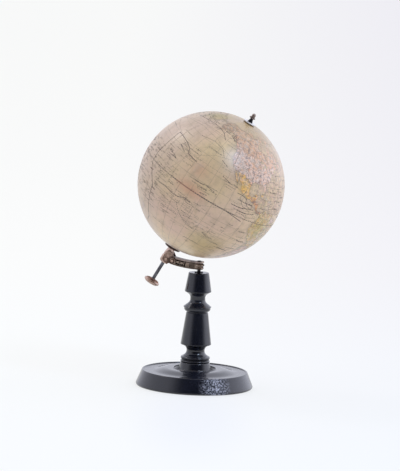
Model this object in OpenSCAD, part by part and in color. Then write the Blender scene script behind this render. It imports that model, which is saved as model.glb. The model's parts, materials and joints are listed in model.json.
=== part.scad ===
// Table globe: a paper-covered ball on a steel axle, held by a cast brass arm
// that swivels on a turned, ebonised wooden stand.
// Millimetres, +Z up. The origin is the centre of the stand's flat underside.

/* [Ball] */
// Diameter of the finished ball
ball_d = 160; // [140:1:180]
// Lean of the axle from the vertical
axle_tilt = 29.2; // [24:0.1:31]
// Thickness of the pasted papier-mache shell
shell_t = 2.7; // [2:0.1:5]
// Thickness of the paper map with its plaster ground and varnish
paper_t = 0.3; // [0.2:0.05:0.5]
// Room for the paste between the shell and the paper
paste_gap = 0.15; // [0.1:0.05:0.3]
// Number of map gores
gore_n = 12; // [8:1:18]
// Width of the joint between two gores at the equator
gore_seam = 0.08; // [0.05:0.01:0.2]
// Radius of the round paper cap pasted over each pole
calotte_r = 14; // [10:0.5:20]
// Angle of the prime meridian round the axle, from the arm side
prime_turn = 45; // [0:1:360]

/* [Ball, inside] */
// Height of the pasteboard hoop that joins the two half shells
hoop_h = 16; // [8:1:30]
// Thickness of the hoop
hoop_t = 1.6; // [1:0.1:3]
// Radius of the turned block under each pole
block_r = 21; // [14:1:30]
// Thickness of the block, on the axle
block_t = 12; // [9:0.5:18]
// Radius of the wooden spindle between the blocks
spindle_r = 9; // [6:0.5:12]
// Depth of the spindle's sockets in the blocks
spindle_socket = 5; // [3:0.5:7]

/* [Axle and knob] */
// Diameter of the axle
axle_d = 3.75; // [3:0.05:5]
// Diameter of the thinner, threaded north end
axle_tip_d = 2.4; // [1.6:0.1:2.8]
// Bare length of axle between the sleeve and the knob
axle_bare = 22.8; // [12:0.2:30]
// Diameter of the knob
knob_d = 17.5; // [14:0.5:24]
// Thickness of the knob's rim
knob_t = 3.8; // [3:0.1:6]
// Depth of the dish in the knob's upper face
knob_dish = 1.5; // [0.8:0.1:2]
// Width of the knob's rim beside the dish
knob_rim = 1.7; // [1:0.1:3]
// Radius of the boss in the middle of the knob
knob_boss_r = 3.3; // [2.9:0.1:4.5]
// Height of the small lock nut on the knob
knob_nut_h = 1.6; // [1:0.1:3]
// Width of the lock nut across its flats
knob_nut_w = 5.4; // [5.2:0.1:6.4]

/* [Pole fittings] */
// Radius of the tube of each pole ferrule
ferrule_r = 2.9; // [2.6:0.05:3.4]
// Radius of the flange of each pole ferrule
ferrule_flange_r = 4.2; // [3.8:0.1:5]
// Thickness of the ferrule's flange at the pole
ferrule_flange_t = 1; // [0.5:0.1:1.5]
// Radius of the dark plate under the south pole
south_plate_r = 9; // [7:0.1:10]
// Thickness of the south plate
south_plate_t = 1.2; // [0.5:0.1:2]
// Radius of the pale plate on the north pole
north_plate_r = 7; // [5:0.1:9]
// Thickness of the north plate
north_plate_t = 0.6; // [0.4:0.1:1.5]
// Radius of the flared collar at the north plate
collar_r = 2.9; // [2.2:0.1:4]
// Radius of the collar's thin end
collar_top_r = 1.65; // [1.6:0.05:2.2]
// Height of the flared collar
collar_h = 4.7; // [3:0.1:8]
// Radius of the cap nut's flange
cap_flange_r = 3.4; // [2.6:0.1:5]
// Height of the cap nut's flange
cap_flange_h = 1.5; // [1:0.1:3]
// Radius of the cap nut's domed body
cap_r = 2.05; // [1.9:0.05:3]
// Height of the cap nut above its flange
cap_h = 4.4; // [3.5:0.1:6]

/* [Sleeve and fork] */
// Length of sleeve above the tilt pivot
sleeve_above = 7.8; // [6.6:0.1:9]
// Length of sleeve below the tilt pivot
sleeve_below = 11.2; // [10.6:0.1:13]
// Offset of the tilt pivot from the axle, towards the arm
pivot_off = 1.4; // [1:0.1:2]
// Radius of the sleeve at its top end
sleeve_top_r = 3.7; // [3.4:0.1:4.2]
// Radius of the sleeve's cone at its foot
sleeve_cone_r = 5; // [4.6:0.1:5.1]
// Radius of the sleeve's barrel
barrel_r = 5.4; // [5.2:0.1:5.6]
// Height of the barrel at the foot of the sleeve
barrel_h = 8; // [7:0.1:8.6]
// Distance between the flat sides of the sleeve
sleeve_flat = 7.7; // [7.6:0.1:7.8]
// Thickness of each cheek of the fork
cheek_t = 1.5; // [1:0.1:2.5]
// Radius of the eye of each cheek
eye_r = 4.6; // [4:0.1:4.9]
// Radius of the lug of each cheek, on the arm
lug_r = 3.5; // [2.6:0.1:3.8]
// Distance from the axle to the lug's rivet
lug_reach = 8; // [7.8:0.1:9]
// Radius of the lobe round the lock screw
lobe_r = 4.2; // [3.4:0.1:4.6]
// Drop of the lock screw below the pivot
lock_drop = 5.2; // [4.8:0.1:6]
// Diameter of the lock screw
lock_d = 2.6; // [2:0.1:3]
// Height of the lock screw's rounded head
lock_head_h = 1.3; // [0.8:0.1:2]
// Radius of the small round tail of each cheek
tail_r = 0.9; // [0.6:0.1:1.4]
// Distance from the axle to the tail
tail_reach = 4.3; // [4:0.1:5.5]
// Drop of the tail below the pivot
tail_drop = 9.1; // [8.6:0.1:10]
// Play of the tilt joint towards the upright
tilt_back = 10; // [5:1:12]
// Play of the tilt joint away from the upright
tilt_on = 4; // [2:1:5]
// Diameter of the rivet
rivet_d = 2.2; // [1.6:0.1:3]
// Diameter of the heads of the rivet and of the pivot screws
head_d = 3.8; // [3.4:0.1:5]
// Height of those heads
head_h = 0.9; // [0.6:0.1:1.5]
// Diameter of the threaded part of a pivot screw
screw_d = 3; // [2.6:0.1:3.2]
// Diameter of the pivot screw's plain tip
tip_d = 2.2; // [1.6:0.1:2.5]
// Depth that the tip reaches into the sleeve
tip_depth = 1.1; // [0.6:0.1:1.3]

/* [Arm] */
// Distance from the column's axis to the tilt pivot
arm_reach = 33.3; // [30:0.1:38]
// Radius of the arm's underside
arm_r = 120; // [105:1:150]
// Height of the arm
arm_h = 8.6; // [8:0.1:10]
// Width of the arm
arm_w = 8; // [7.8:0.1:10]
// Thickness of the arm's upper and lower rims
rim_t = 1.5; // [1:0.1:2]
// Depth of the sunk panel on each side
panel_depth = 2.2; // [1:0.1:2.8]
// Height of the relief in the panel
relief_h = 1.2; // [0.6:0.1:1.8]
// Number of relief motifs on each side
relief_n = 3; // [2:1:3]
// Length of the plain pad between the relief and the foot
pad_l = 5.2; // [4:0.1:6]
// Space between the ball and the top of the arm's foot
ball_gap = 4.8; // [4.6:0.1:10]
// Space between the sleeve's barrel and the arm's end
end_gap = 0.6; // [0.5:0.1:1]
// Radius of the turned foot at its largest bead
foot_r = 5.6; // [5.2:0.1:6.4]

/* [Pin] */
// Diameter of the steel pin in the column
pin_d = 3.75; // [3:0.05:5]
// Diameter of the pin's upper part, on which the arm turns
pivot_d = 3.1; // [2.4:0.1:3.2]
// Bare height of the pin under the arm
pin_bare = 3.3; // [2:0.1:6]
// Depth of the pin in the column
pin_depth = 24; // [15:1:40]
// Diameter of the pin's riveted head
pin_head_d = 4.8; // [4.2:0.1:6]
// Height of the riveted head
pin_head_h = 0.7; // [0.4:0.1:1.2]
// Diameter of the washer on the column
washer_d = 9.3; // [7:0.1:12]
// Thickness of the washer
washer_t = 0.8; // [0.4:0.1:1.5]

/* [Column] */
// Radius of the tenon in the base
tenon_r = 8; // [6:0.1:9]
// Length of the tenon
tenon_l = 22; // [12:0.5:24]
// Radius of the two lower rings
ring_r = 16; // [14:0.1:17]
// Radius of the lower neck
neck_r = 9.9; // [8:0.1:11]
// Radius of the long cone's foot
cone_foot_r = 16.7; // [14.5:0.1:18]
// Radius of the long cone's top
cone_top_r = 12; // [10.5:0.1:13]
// Height of the long cone
cone_h = 34.4; // [25:0.2:45]
// Radius of the middle bead at its lip
bead_r = 15.2; // [13.5:0.1:17]
// Radius of the upper neck
upper_neck_r = 8.2; // [6.5:0.1:9]
// Radius of the upper cone's foot
upper_foot_r = 14.5; // [12.5:0.1:15]
// Radius of the column's top
top_r = 11.2; // [9:0.1:12]
// Height of the upper cone
upper_h = 20.3; // [14:0.1:30]

/* [Base] */
// Radius of the base on the table
base_r = 63.9; // [58:0.1:80]
// Radius of the rim of the upper face
base_rim_r = 58; // [54:0.1:72]
// Height of the rim
base_h = 17.4; // [14:0.1:24]
// Depth of the dish inside the rim
base_dish = 0.9; // [0.4:0.1:1.5]
// Radius of the raised platform round the column
platform_r = 34.4; // [30:0.1:40]
// Rise of the platform above the dish
platform_h = 3.3; // [2:0.1:5]
// Radius of the boss under the column
boss_r = 16.2; // [15:0.1:18]
// Height of the boss above the platform
boss_h = 7; // [5:0.1:10]

/* [Clearances] */
// Radial clearance of a turning fit
run_gap = 0.05; // [0.02:0.01:0.09]
// Radial clearance of a glued, screwed or riveted fit
fix_gap = 0.03; // [0.01:0.01:0.05]
// Clearance between two faces that slide or rub
face_gap = 0.1; // [0.05:0.05:0.2]

/* [Hidden] */

$fn = 96;
eps = 0.01;
ball_r = ball_d / 2;
axle_r = axle_d / 2;
axle_tip_r = axle_tip_d / 2;
paper_r = ball_r - paper_t;
shell_r = paper_r - paste_gap;
inner_r = shell_r - shell_t;

// Heights on the column, from the table up
dish_z = base_h - base_dish;
platform_z = dish_z + platform_h;
column_z = platform_z + boss_h;
ring_h = 2.6;
ring_groove = 0.6;
ring_top_h = 3.4;
ring_top_z = column_z + ring_h + ring_groove;
collar_z = ring_top_z + ring_top_h;
lower_cove_r = 6;
lower_cove_z = collar_z + 6.3;
cone_z = lower_cove_z + 7.4;
cone_edge = 0.6;
cone_top_z = cone_z + cone_h;
bead_half = 4.4;
lip_out = 0.7;
lip_t = 0.4;
bead_z = cone_top_z + 1 + bead_half;
ledge_z = bead_z + bead_half;
upper_cove_r = 5.6;
upper_cove_z = ledge_z + 6.3;
upper_z = upper_cove_z + 7.6;
top_z = upper_z + upper_h;
top_round = 0.7;

// Heights of the arm's foot
foot_z = top_z + pin_bare;
foot_proud = 0.15;
foot_top_z = foot_z + arm_h + 2 * foot_proud;
pin_r = pin_d / 2;
pivot_r = pivot_d / 2;

// The ball hangs from the tilt pivot: its centre lies this far up the axle from the pivot
south_stack = ferrule_flange_t + south_plate_t + face_gap;
lever = sleeve_above + south_stack + ball_r;
ball_x = lever * sin(axle_tilt) - pivot_off * cos(axle_tilt) - arm_reach;
ball_z = foot_top_z + ball_gap + ball_r;
sleeve_top = ball_r + south_stack;
pivot_s = sleeve_top + sleeve_above;
sleeve_end = pivot_s + sleeve_below;
pivot_z = ball_z - lever * cos(axle_tilt) - pivot_off * sin(axle_tilt);

// Axle: the knob's upper face and lower end, counted down from the ball's centre
knob_face = sleeve_end + axle_bare;
axle_end = knob_face + knob_t - 0.5;
north_stack = ball_r + ferrule_flange_t + north_plate_t;
cap_z = north_stack + collar_h;
axle_shoulder = ball_r - 2;

// Arm: centre of its arcs, and the angles at which the rivet and the panel's ends lie
arm_centre_z = foot_z + foot_proud + arm_r;
arm_mid_r = arm_r - arm_h / 2;
function arm_angle(reach, radius) =
    axle_tilt
    - asin((reach - arm_reach * cos(axle_tilt) + (arm_centre_z - pivot_z) * sin(axle_tilt)) / radius);
rivet_angle = arm_angle(lug_reach - pivot_off, arm_mid_r);
rivet_x = -arm_mid_r * sin(rivet_angle);
rivet_z = arm_centre_z - arm_mid_r * cos(rivet_angle);
panel_start = asin((foot_r + 0.2) / arm_mid_r);
panel_end = rivet_angle - asin((lug_r + 0.3) / arm_mid_r);
pad_start = panel_start + asin(0.6 / arm_mid_r);
pad_end = pad_start + asin(pad_l / arm_mid_r);
relief_start = pad_end + asin(0.6 / arm_mid_r);
pad_depth = 0.6;
end_reach = barrel_r - pivot_off + end_gap;
cheek_y = arm_w / 2;
rivet_r = rivet_d / 2;
head_r = head_d / 2;
screw_r = screw_d / 2;
tip_r = tip_d / 2;

// Places a shape in the axle's frame: its origin is the ball's centre and its +Z points north
module on_axle() {
    translate([ball_x, 0, ball_z]) rotate([0, axle_tilt, 0]) children();
}

// Places a shape at the tilt pivot, turned with the axle
module at_pivot() {
    on_axle() translate([pivot_off, 0, -pivot_s]) children();
}

// Places a flat outline in the arm's plane: its x and y are the model's x and z.
// It stands w wide about y = 0.
module upright(w) {
    rotate([90, 0, 0]) linear_extrude(w, center = true) children();
}

// Half profile of a round bead: its outer radius, mid height and half height
module bead_2d(r, z, half) {
    translate([0, z - half]) square([r - half, 2 * half]);
    translate([r - half, z]) circle(half);
}

// Belt round two circles, as its two circles and the four points where the straight sides touch them
module belt_2d(p, rp, q, rq) {
    d = norm(q - p);
    lean = acos((rp - rq) / d);
    dir = atan2(q[1] - p[1], q[0] - p[0]);
    function on(c, r, a) = c + r * [cos(a), sin(a)];
    translate(p) circle(rp);
    translate(q) circle(rq);
    polygon([
        on(p, rp, dir + lean), on(q, rq, dir + lean),
        on(q, rq, dir - lean), on(p, rp, dir - lean)
    ]);
}

// Spherical layer between two radii, kept where its child is
module layer(outer, inner) {
    intersection() {
        difference() {
            sphere(outer);
            sphere(inner);
        }
        children();
    }
}

// Stand

base_round = 2;
base_rim_round = 1.1;
platform_round = 1.8;
dish_cove_r = 10;
platform_spread = 6.2;
moat_r = 2.6;
moat_gap = 4;
moat_at = boss_r + moat_gap;

module base_profile() {
    difference() {
        union() {
            // Conical side, with its rounded foot and the thin bead of the rim
            polygon([
                [0, 0], [base_r - base_round, 0], [base_r, base_round],
                [base_rim_r, base_h - base_rim_round], [base_rim_r - 1, dish_z], [0, dish_z]
            ]);
            translate([base_r - base_round, base_round]) circle(base_round);
            translate([base_rim_r - base_rim_round, base_h - base_rim_round]) circle(base_rim_round);
            // Platform with a rounded edge that runs down into the dish
            square([platform_r - platform_round, platform_z]);
            translate([platform_r - platform_round, platform_z - platform_round]) circle(platform_round);
            difference() {
                translate([platform_r - platform_round, dish_z - eps])
                    square([platform_spread + platform_round, platform_h - 1.2]);
                translate([platform_r + platform_spread, dish_z + dish_cove_r]) circle(dish_cove_r);
            }
            // Fine bead beside the moat
            bead_2d(moat_at + 3.6, platform_z - 0.2, 0.9);
            // Boss, drawn in a little towards the column
            polygon([
                [0, 0], [boss_r + 1.4, platform_z - 1], [boss_r, column_z - 0.7],
                [boss_r - 0.5, column_z], [0, column_z]
            ]);
        }
        translate([moat_at, platform_z + 0.3]) circle(moat_r);
    }
}

module base() {
    color([0.10, 0.10, 0.12])
    difference() {
        rotate_extrude($fn = 180) base_profile();
        translate([0, 0, column_z - tenon_l - face_gap])
            cylinder(r = tenon_r + fix_gap, h = tenon_l + 1);
    }
}

module column_profile() {
    // Tenon
    translate([0, column_z - tenon_l]) square([tenon_r, tenon_l + 1]);
    // Two rings with a groove between them, and the fillet above
    bead_2d(ring_r, column_z + ring_h / 2, ring_h / 2);
    translate([0, column_z]) square([ring_r - 1.8, ring_h + ring_groove + 1]);
    bead_2d(ring_r, ring_top_z + ring_top_h / 2, ring_top_h / 2);
    difference() {
        translate([0, collar_z - 1]) square([neck_r + 3.4, cone_z - collar_z]);
        translate([neck_r + lower_cove_r, lower_cove_z]) circle(lower_cove_r);
    }
    // Long cone with its sharp lower edge
    polygon([
        [0, cone_z - 1.8], [neck_r + 3.4, cone_z - 1.8], [cone_foot_r, cone_z - cone_edge],
        [cone_foot_r, cone_z], [cone_top_r, cone_top_z], [cone_top_r - 0.6, cone_top_z + 0.4],
        [cone_top_r - 0.6, cone_top_z + 2], [0, cone_top_z + 2]
    ]);
    // Middle bead: round below, with a sharp lip from which a slope runs up to the upper neck
    bead_2d(bead_r - lip_out, bead_z - lip_out, bead_half - lip_out);
    polygon([
        [0, bead_z], [bead_r - lip_out, bead_z], [bead_r, bead_z + lip_out],
        [bead_r, bead_z + lip_out + lip_t], [upper_neck_r + 4.3, ledge_z - 1],
        [upper_neck_r + 1.5, ledge_z + 1.2], [upper_neck_r, upper_cove_z - 2.4],
        [upper_neck_r, upper_cove_z], [0, upper_cove_z]
    ]);
    difference() {
        translate([0, upper_cove_z - 1]) square([upper_neck_r + 3.7, upper_z - upper_cove_z - 0.6]);
        translate([upper_neck_r + upper_cove_r, upper_cove_z]) circle(upper_cove_r);
    }
    // Upper cone
    polygon([
        [0, upper_z - 2.1], [upper_neck_r + 3.7, upper_z - 2.1], [upper_foot_r, upper_z - cone_edge],
        [upper_foot_r, upper_z], [top_r, top_z - top_round], [top_r - top_round, top_z], [0, top_z]
    ]);
}

module column() {
    color([0.12, 0.12, 0.14])
    difference() {
        rotate_extrude($fn = 120) column_profile();
        translate([0, 0, top_z - pin_depth]) cylinder(r = pin_r + fix_gap, h = pin_depth + 1);
    }
}

module column_pin() {
    color([0.20, 0.20, 0.22]) {
        translate([0, 0, top_z - pin_depth + face_gap])
            cylinder(r = pin_r, h = pin_depth + pin_bare - face_gap);
        translate([0, 0, foot_z - 1]) cylinder(r = pivot_r, h = foot_top_z - foot_z + face_gap + 1);
        translate([0, 0, foot_top_z + face_gap])
            cylinder(r1 = pin_head_d / 2, r2 = pin_head_d / 2 - pin_head_h / 2, h = pin_head_h);
    }
}

module pin_washer() {
    color([0.16, 0.15, 0.16])
    translate([0, 0, top_z])
    difference() {
        cylinder(r = washer_d / 2, h = washer_t);
        translate([0, 0, -1]) cylinder(r = pin_r + run_gap, h = washer_t + 2);
    }
}

// Arm

// Foot: a flange, two turned beads and the hollows between them
foot_bead = 1.35;
foot_flange_r = foot_r - 0.4;
foot_core_r = foot_r - 1.6;

module foot_profile() {
    translate([0, foot_z]) square([foot_core_r, foot_top_z - foot_z]);
    bead_2d(foot_r - 0.6, foot_z + foot_bead + 0.2, foot_bead);
    bead_2d(foot_r, foot_z + arm_h / 2 + 0.5, foot_bead);
    translate([0, foot_top_z - rim_t]) square([foot_flange_r, rim_t]);
}

// One lozenge of the relief with a round stud above and below its end, raised on the panel's floor
lozenge_l = 1.7;
lozenge_w = 1.5;
stud_r = 0.6;
stud_off = 1.6;

module relief_motif(angle, side) {
    floor_y = side * (arm_w / 2 - panel_depth);
    pitch = (panel_end - relief_start) / relief_n;
    translate([0, 0, arm_centre_z])
    rotate([0, angle, 0])
    translate([0, floor_y + side * (relief_h / 2 - 0.2), -arm_mid_r])
    upright(relief_h + 0.4)
        polygon([[-lozenge_l, 0], [0, -lozenge_w], [lozenge_l, 0], [0, lozenge_w]]);
    for (z = [-stud_off, stud_off])
        translate([0, 0, arm_centre_z])
        rotate([0, angle - pitch / 2, 0])
        translate([0, floor_y + side * (relief_h / 2 - 0.4), z - arm_mid_r])
        rotate([90, 0, 0]) cylinder(r = stud_r, h = relief_h, center = true, $fn = 24);
}

// Outline of the arm between two angles, in its own plane
module arm_outline(r_in, r_out, from, to) {
    far = 2 * arm_r;
    difference() {
        translate([0, arm_centre_z]) intersection() {
            circle(r_out, $fn = 720);
            polygon([
                [0, 0], [-far * sin(from), -far * cos(from)], [-far * sin(to), -far * cos(to)]
            ]);
        }
        translate([0, arm_centre_z]) circle(r_in, $fn = 720);
    }
}

module arm_bar() {
    difference() {
        upright(arm_w) arm_outline(arm_r - arm_h, arm_r, 1, rivet_angle + 8);
        for (side = [-1, 1]) {
            // Sunk panel, and the plain pad between it and the foot
            translate([0, side * arm_w / 2, 0]) upright(2 * panel_depth)
                arm_outline(
                    arm_r - arm_h + rim_t, arm_r - rim_t, relief_start - asin(0.6 / arm_mid_r), panel_end);
            translate([0, side * arm_w / 2, 0]) upright(2 * pad_depth)
                arm_outline(arm_r - arm_h + rim_t, arm_r - rim_t, panel_start, relief_start);
        }
    }
}

module arm() {
    pitch = (panel_end - relief_start) / relief_n;
    color([0.52, 0.43, 0.30])
    difference() {
        union() {
            arm_bar();
            for (side = [-1, 1], i = [0 : relief_n - 1])
                relief_motif(relief_start + (i + 0.5) * pitch, side);
            rotate_extrude($fn = 72) foot_profile();
        }
        // End cut back on two slopes, clear of the sleeve at both ends of its tilt
        for (turn = [-tilt_back, tilt_on])
            at_pivot() rotate([0, turn, 0]) translate([end_reach - 40, -20, -30]) cube([40, 40, 60]);
        // Bore for the pin, and the hole for the rivet
        translate([0, 0, foot_z - 1]) cylinder(r = pivot_r + run_gap, h = arm_h + 2);
        translate([rivet_x, 0, rivet_z]) rotate([90, 0, 0])
            cylinder(r = rivet_r + fix_gap, h = arm_w + 2, center = true, $fn = 48);
    }
}

// Fork: two cheeks riveted to the arm's end, which hold the sleeve by two pointed screws

// Places in the cheek's own outline, from the pivot: x away from the axle towards the arm,
// y up along the axle
lug_at = [
    lug_reach - pivot_off,
    (rivet_x + arm_reach) * sin(axle_tilt) + (rivet_z - pivot_z) * cos(axle_tilt)
];
lock_at = [-0.1, -lock_drop];
tail_at = [tail_reach - pivot_off, -tail_drop];

module cheek_outline() {
    belt_2d([0, 0], eye_r, lug_at, lug_r);
    belt_2d([0, 0], eye_r - 0.1, lock_at, lobe_r);
    belt_2d(lock_at, lobe_r - 0.1, lug_at, lug_r - 0.1);
    belt_2d(lock_at + [1.6, -1], lobe_r - 2.2, tail_at, tail_r);
}

module yoke_cheeks() {
    color([0.58, 0.45, 0.38])
    for (side = [-1, 1])
        at_pivot()
        translate([0, side * (cheek_y + cheek_t / 2), 0])
        difference() {
            upright(cheek_t) cheek_outline();
            rotate([90, 0, 0]) cylinder(r = screw_r + fix_gap, h = cheek_t + 2, center = true, $fn = 48);
            translate([lug_at[0], 0, lug_at[1]]) rotate([90, 0, 0])
                cylinder(r = rivet_r + fix_gap, h = cheek_t + 2, center = true, $fn = 48);
            if (side < 0)
                translate([lock_at[0], 0, lock_at[1]]) rotate([90, 0, 0])
                    cylinder(r = lock_d / 2 + fix_gap, h = cheek_t + 2, center = true, $fn = 48);
        }
}

module yoke_rivet() {
    outer_y = cheek_y + cheek_t;
    color([0.62, 0.52, 0.38])
    translate([rivet_x, 0, rivet_z]) {
        rotate([90, 0, 0]) cylinder(r = rivet_r, h = 2 * outer_y + 0.2, center = true, $fn = 48);
        for (side = [0, 180])
            rotate([90, 0, side]) translate([0, 0, outer_y])
                cylinder(r1 = head_r - 0.2, r2 = head_r - 0.7, h = head_h, $fn = 48);
    }
}

module trunnion_screws() {
    flat_y = sleeve_flat / 2;
    outer_y = cheek_y + cheek_t;
    color([0.60, 0.48, 0.36])
    for (side = [0, 180])
        at_pivot() rotate([0, 0, side]) rotate([90, 0, 0])
        difference() {
            union() {
                translate([0, 0, flat_y - tip_depth])
                    cylinder(r = tip_r, h = outer_y - flat_y + tip_depth, $fn = 48);
                translate([0, 0, cheek_y + face_gap]) cylinder(r = screw_r, h = cheek_t - face_gap, $fn = 48);
                translate([0, 0, outer_y]) cylinder(r = head_r, h = head_h, $fn = 48);
            }
            // Driver slot
            translate([-head_r - 1, -0.3, outer_y + head_h - 0.5]) cube([2 * head_r + 2, 0.6, 1]);
        }
}

// Screw in the front cheek that bears on the sleeve's flat side and holds the tilt
module lock_screw() {
    outer_y = cheek_y + cheek_t;
    color([0.66, 0.54, 0.44])
    at_pivot() translate([lock_at[0], 0, lock_at[1]]) rotate([90, 0, 0]) {
        translate([0, 0, cheek_y]) cylinder(r = lock_d / 2, h = cheek_t + 0.2, $fn = 48);
        translate([0, 0, outer_y]) cylinder(r1 = head_r - 0.1, r2 = head_r - 0.5, h = lock_head_h, $fn = 48);
    }
}

// Sleeve: a cone over a rounded barrel, with flat sides, bored for the axle
barrel_round = 2.8;

// Points of a quarter round, from one angle to the other, about a centre
function quarter(centre, r, from, to, n = 6) =
    [for (i = [0 : n]) let (t = from + (to - from) * i / n) centre + r * [cos(t), sin(t)]];

module sleeve_profile() {
    top = sleeve_above;
    foot = -sleeve_below;
    step = foot + barrel_h;
    polygon(concat(
        [
            [0, top], [sleeve_top_r - 0.3, top], [sleeve_top_r, top - 0.3],
            [sleeve_cone_r, 0], [sleeve_cone_r - 0.2, step], [barrel_r - 0.3, step], [barrel_r, step - 0.4]
        ],
        quarter([barrel_r - barrel_round, foot + barrel_round], barrel_round, 0, -90),
        [[0, foot]]
    ));
}

module sleeve() {
    flat_y = sleeve_flat / 2;
    length = sleeve_above + sleeve_below;
    color([0.60, 0.47, 0.40])
    on_axle() translate([0, 0, -pivot_s])
    difference() {
        rotate_extrude($fn = 72) sleeve_profile();
        translate([0, 0, -sleeve_below - 1]) cylinder(r = axle_r + run_gap, h = length + 2, $fn = 48);
        for (side = [0, 180]) {
            rotate([0, 0, side]) translate([-10, flat_y, -sleeve_below - 1]) cube([20, 10, length + 2]);
            translate([pivot_off, 0, 0]) rotate([90, 0, side]) translate([0, 0, flat_y - tip_depth - face_gap])
                cylinder(r = tip_r + run_gap, h = 5, $fn = 48);
        }
    }
}

// Axle and knob

module axle() {
    color([0.28, 0.28, 0.30])
    on_axle() {
        translate([0, 0, -axle_end]) cylinder(r = axle_r, h = axle_end + axle_shoulder, $fn = 48);
        translate([0, 0, axle_shoulder - 1])
            cylinder(r = axle_tip_r, h = cap_z + cap_flange_h + cap_h - 2 - axle_shoulder + 1, $fn = 48);
    }
}

module knob_profile() {
    knob_r = knob_d / 2;
    edge = knob_t / 2 - 0.4;
    difference() {
        union() {
            translate([0, -knob_t]) square([knob_r - edge, knob_t]);
            translate([knob_r - edge, -knob_t / 2]) circle(edge);
            translate([0, -knob_t / 2 - 0.8]) square([knob_r, 1.6]);
        }
        // Dish round the boss
        translate([knob_boss_r, -knob_dish]) square([knob_r - knob_rim - knob_boss_r, knob_dish + 1]);
    }
}

module knob() {
    color([0.66, 0.52, 0.44])
    on_axle() translate([0, 0, -knob_face])
    difference() {
        rotate_extrude($fn = 96) knob_profile();
        translate([0, 0, -knob_t - 1]) cylinder(r = axle_r + fix_gap, h = knob_t + 2, $fn = 48);
    }
}

module knob_nut() {
    color([0.62, 0.50, 0.38])
    on_axle() translate([0, 0, -knob_face])
    difference() {
        cylinder(d = knob_nut_w / cos(30), h = knob_nut_h, $fn = 6);
        translate([0, 0, -1]) cylinder(r = axle_r + fix_gap, h = knob_nut_h + 2, $fn = 48);
    }
}

// Fittings at the poles

// Turned ferrule, drawn for the north pole: a tube into the block and a flange on the ball
module ferrule() {
    difference() {
        union() {
            translate([0, 0, inner_r - block_t + 1])
                cylinder(r = ferrule_r, h = ball_r - inner_r + block_t - 1, $fn = 48);
            translate([0, 0, ball_r]) cylinder(r = ferrule_flange_r, h = ferrule_flange_t, $fn = 72);
        }
        translate([0, 0, inner_r - block_t]) cylinder(r = axle_r + fix_gap, h = 2 * ball_r, $fn = 48);
    }
}

module south_ferrule() {
    color([0.55, 0.46, 0.36])
    on_axle() rotate([180, 0, 0]) ferrule();
}

module north_ferrule() {
    color([0.55, 0.46, 0.36])
    on_axle() ferrule();
}

module south_plate() {
    color([0.14, 0.12, 0.12])
    on_axle() translate([0, 0, -ball_r - ferrule_flange_t - south_plate_t])
    difference() {
        cylinder(r = south_plate_r, h = south_plate_t, $fn = 96);
        translate([0, 0, -1]) cylinder(r = axle_r + fix_gap, h = south_plate_t + 2, $fn = 48);
    }
}

module north_plate() {
    color([0.80, 0.78, 0.76])
    on_axle() translate([0, 0, ball_r + ferrule_flange_t])
    difference() {
        cylinder(r = north_plate_r, h = north_plate_t, $fn = 96);
        translate([0, 0, -1]) cylinder(r = axle_tip_r + fix_gap, h = north_plate_t + 2, $fn = 48);
    }
}

module flared_collar() {
    color([0.10, 0.09, 0.10])
    on_axle() translate([0, 0, north_stack])
    difference() {
        union() {
            cylinder(r1 = collar_r, r2 = collar_top_r, h = collar_h - 0.8, $fn = 48);
            translate([0, 0, collar_h - 0.8 - eps]) cylinder(r = collar_top_r, h = 0.8 + eps, $fn = 48);
        }
        translate([0, 0, -1]) cylinder(r = axle_tip_r + fix_gap, h = collar_h + 2, $fn = 48);
    }
}

module cap_nut() {
    color([0.56, 0.48, 0.40])
    on_axle() translate([0, 0, cap_z])
    difference() {
        union() {
            rotate_extrude($fn = 72) bead_2d(cap_flange_r, cap_flange_h / 2, cap_flange_h / 2);
            cylinder(r = cap_r, h = cap_flange_h + cap_h - cap_r, $fn = 48);
            translate([0, 0, cap_flange_h + cap_h - cap_r]) sphere(cap_r, $fn = 48);
        }
        translate([0, 0, -1])
            cylinder(r = axle_tip_r + fix_gap, h = cap_flange_h + cap_h - 1 + face_gap, $fn = 48);
    }
}

// Ball

// Half space above or below the equator, less the joint between the half shells
module half(side) {
    translate([-ball_d, -ball_d, side > 0 ? face_gap / 2 : -2 * ball_d - face_gap / 2])
        cube([2 * ball_d, 2 * ball_d, 2 * ball_d]);
}

module shell(side) {
    on_axle()
    difference() {
        layer(shell_r, inner_r) half(side);
        cylinder(r = ferrule_r + fix_gap, h = 3 * ball_d, center = true, $fn = 48);
    }
}

module shell_south() {
    color([0.72, 0.66, 0.55]) shell(-1);
}

module shell_north() {
    color([0.72, 0.66, 0.55]) shell(1);
}

module inner_hoop() {
    outer = inner_r - face_gap;
    flat_r = sqrt(outer * outer - hoop_h * hoop_h / 4) - hoop_t;
    color([0.60, 0.52, 0.40])
    on_axle()
    rotate_extrude($fn = 180)
    intersection() {
        circle(outer);
        translate([flat_r, -hoop_h / 2]) square([20, hoop_h]);
    }
}

module pole_block(side) {
    block_z = inner_r - face_gap - block_t;
    on_axle() rotate([side > 0 ? 0 : 180, 0, 0])
    difference() {
        intersection() {
            sphere(inner_r - face_gap);
            translate([0, 0, block_z]) cylinder(r = block_r, h = ball_r);
        }
        cylinder(r = ferrule_r + fix_gap, h = ball_r, $fn = 48);
        translate([0, 0, block_z - 1]) cylinder(r = spindle_r + fix_gap, h = spindle_socket + 1, $fn = 72);
    }
}

module pole_block_south() {
    color([0.70, 0.56, 0.38]) pole_block(-1);
}

module pole_block_north() {
    color([0.70, 0.56, 0.38]) pole_block(1);
}

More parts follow.
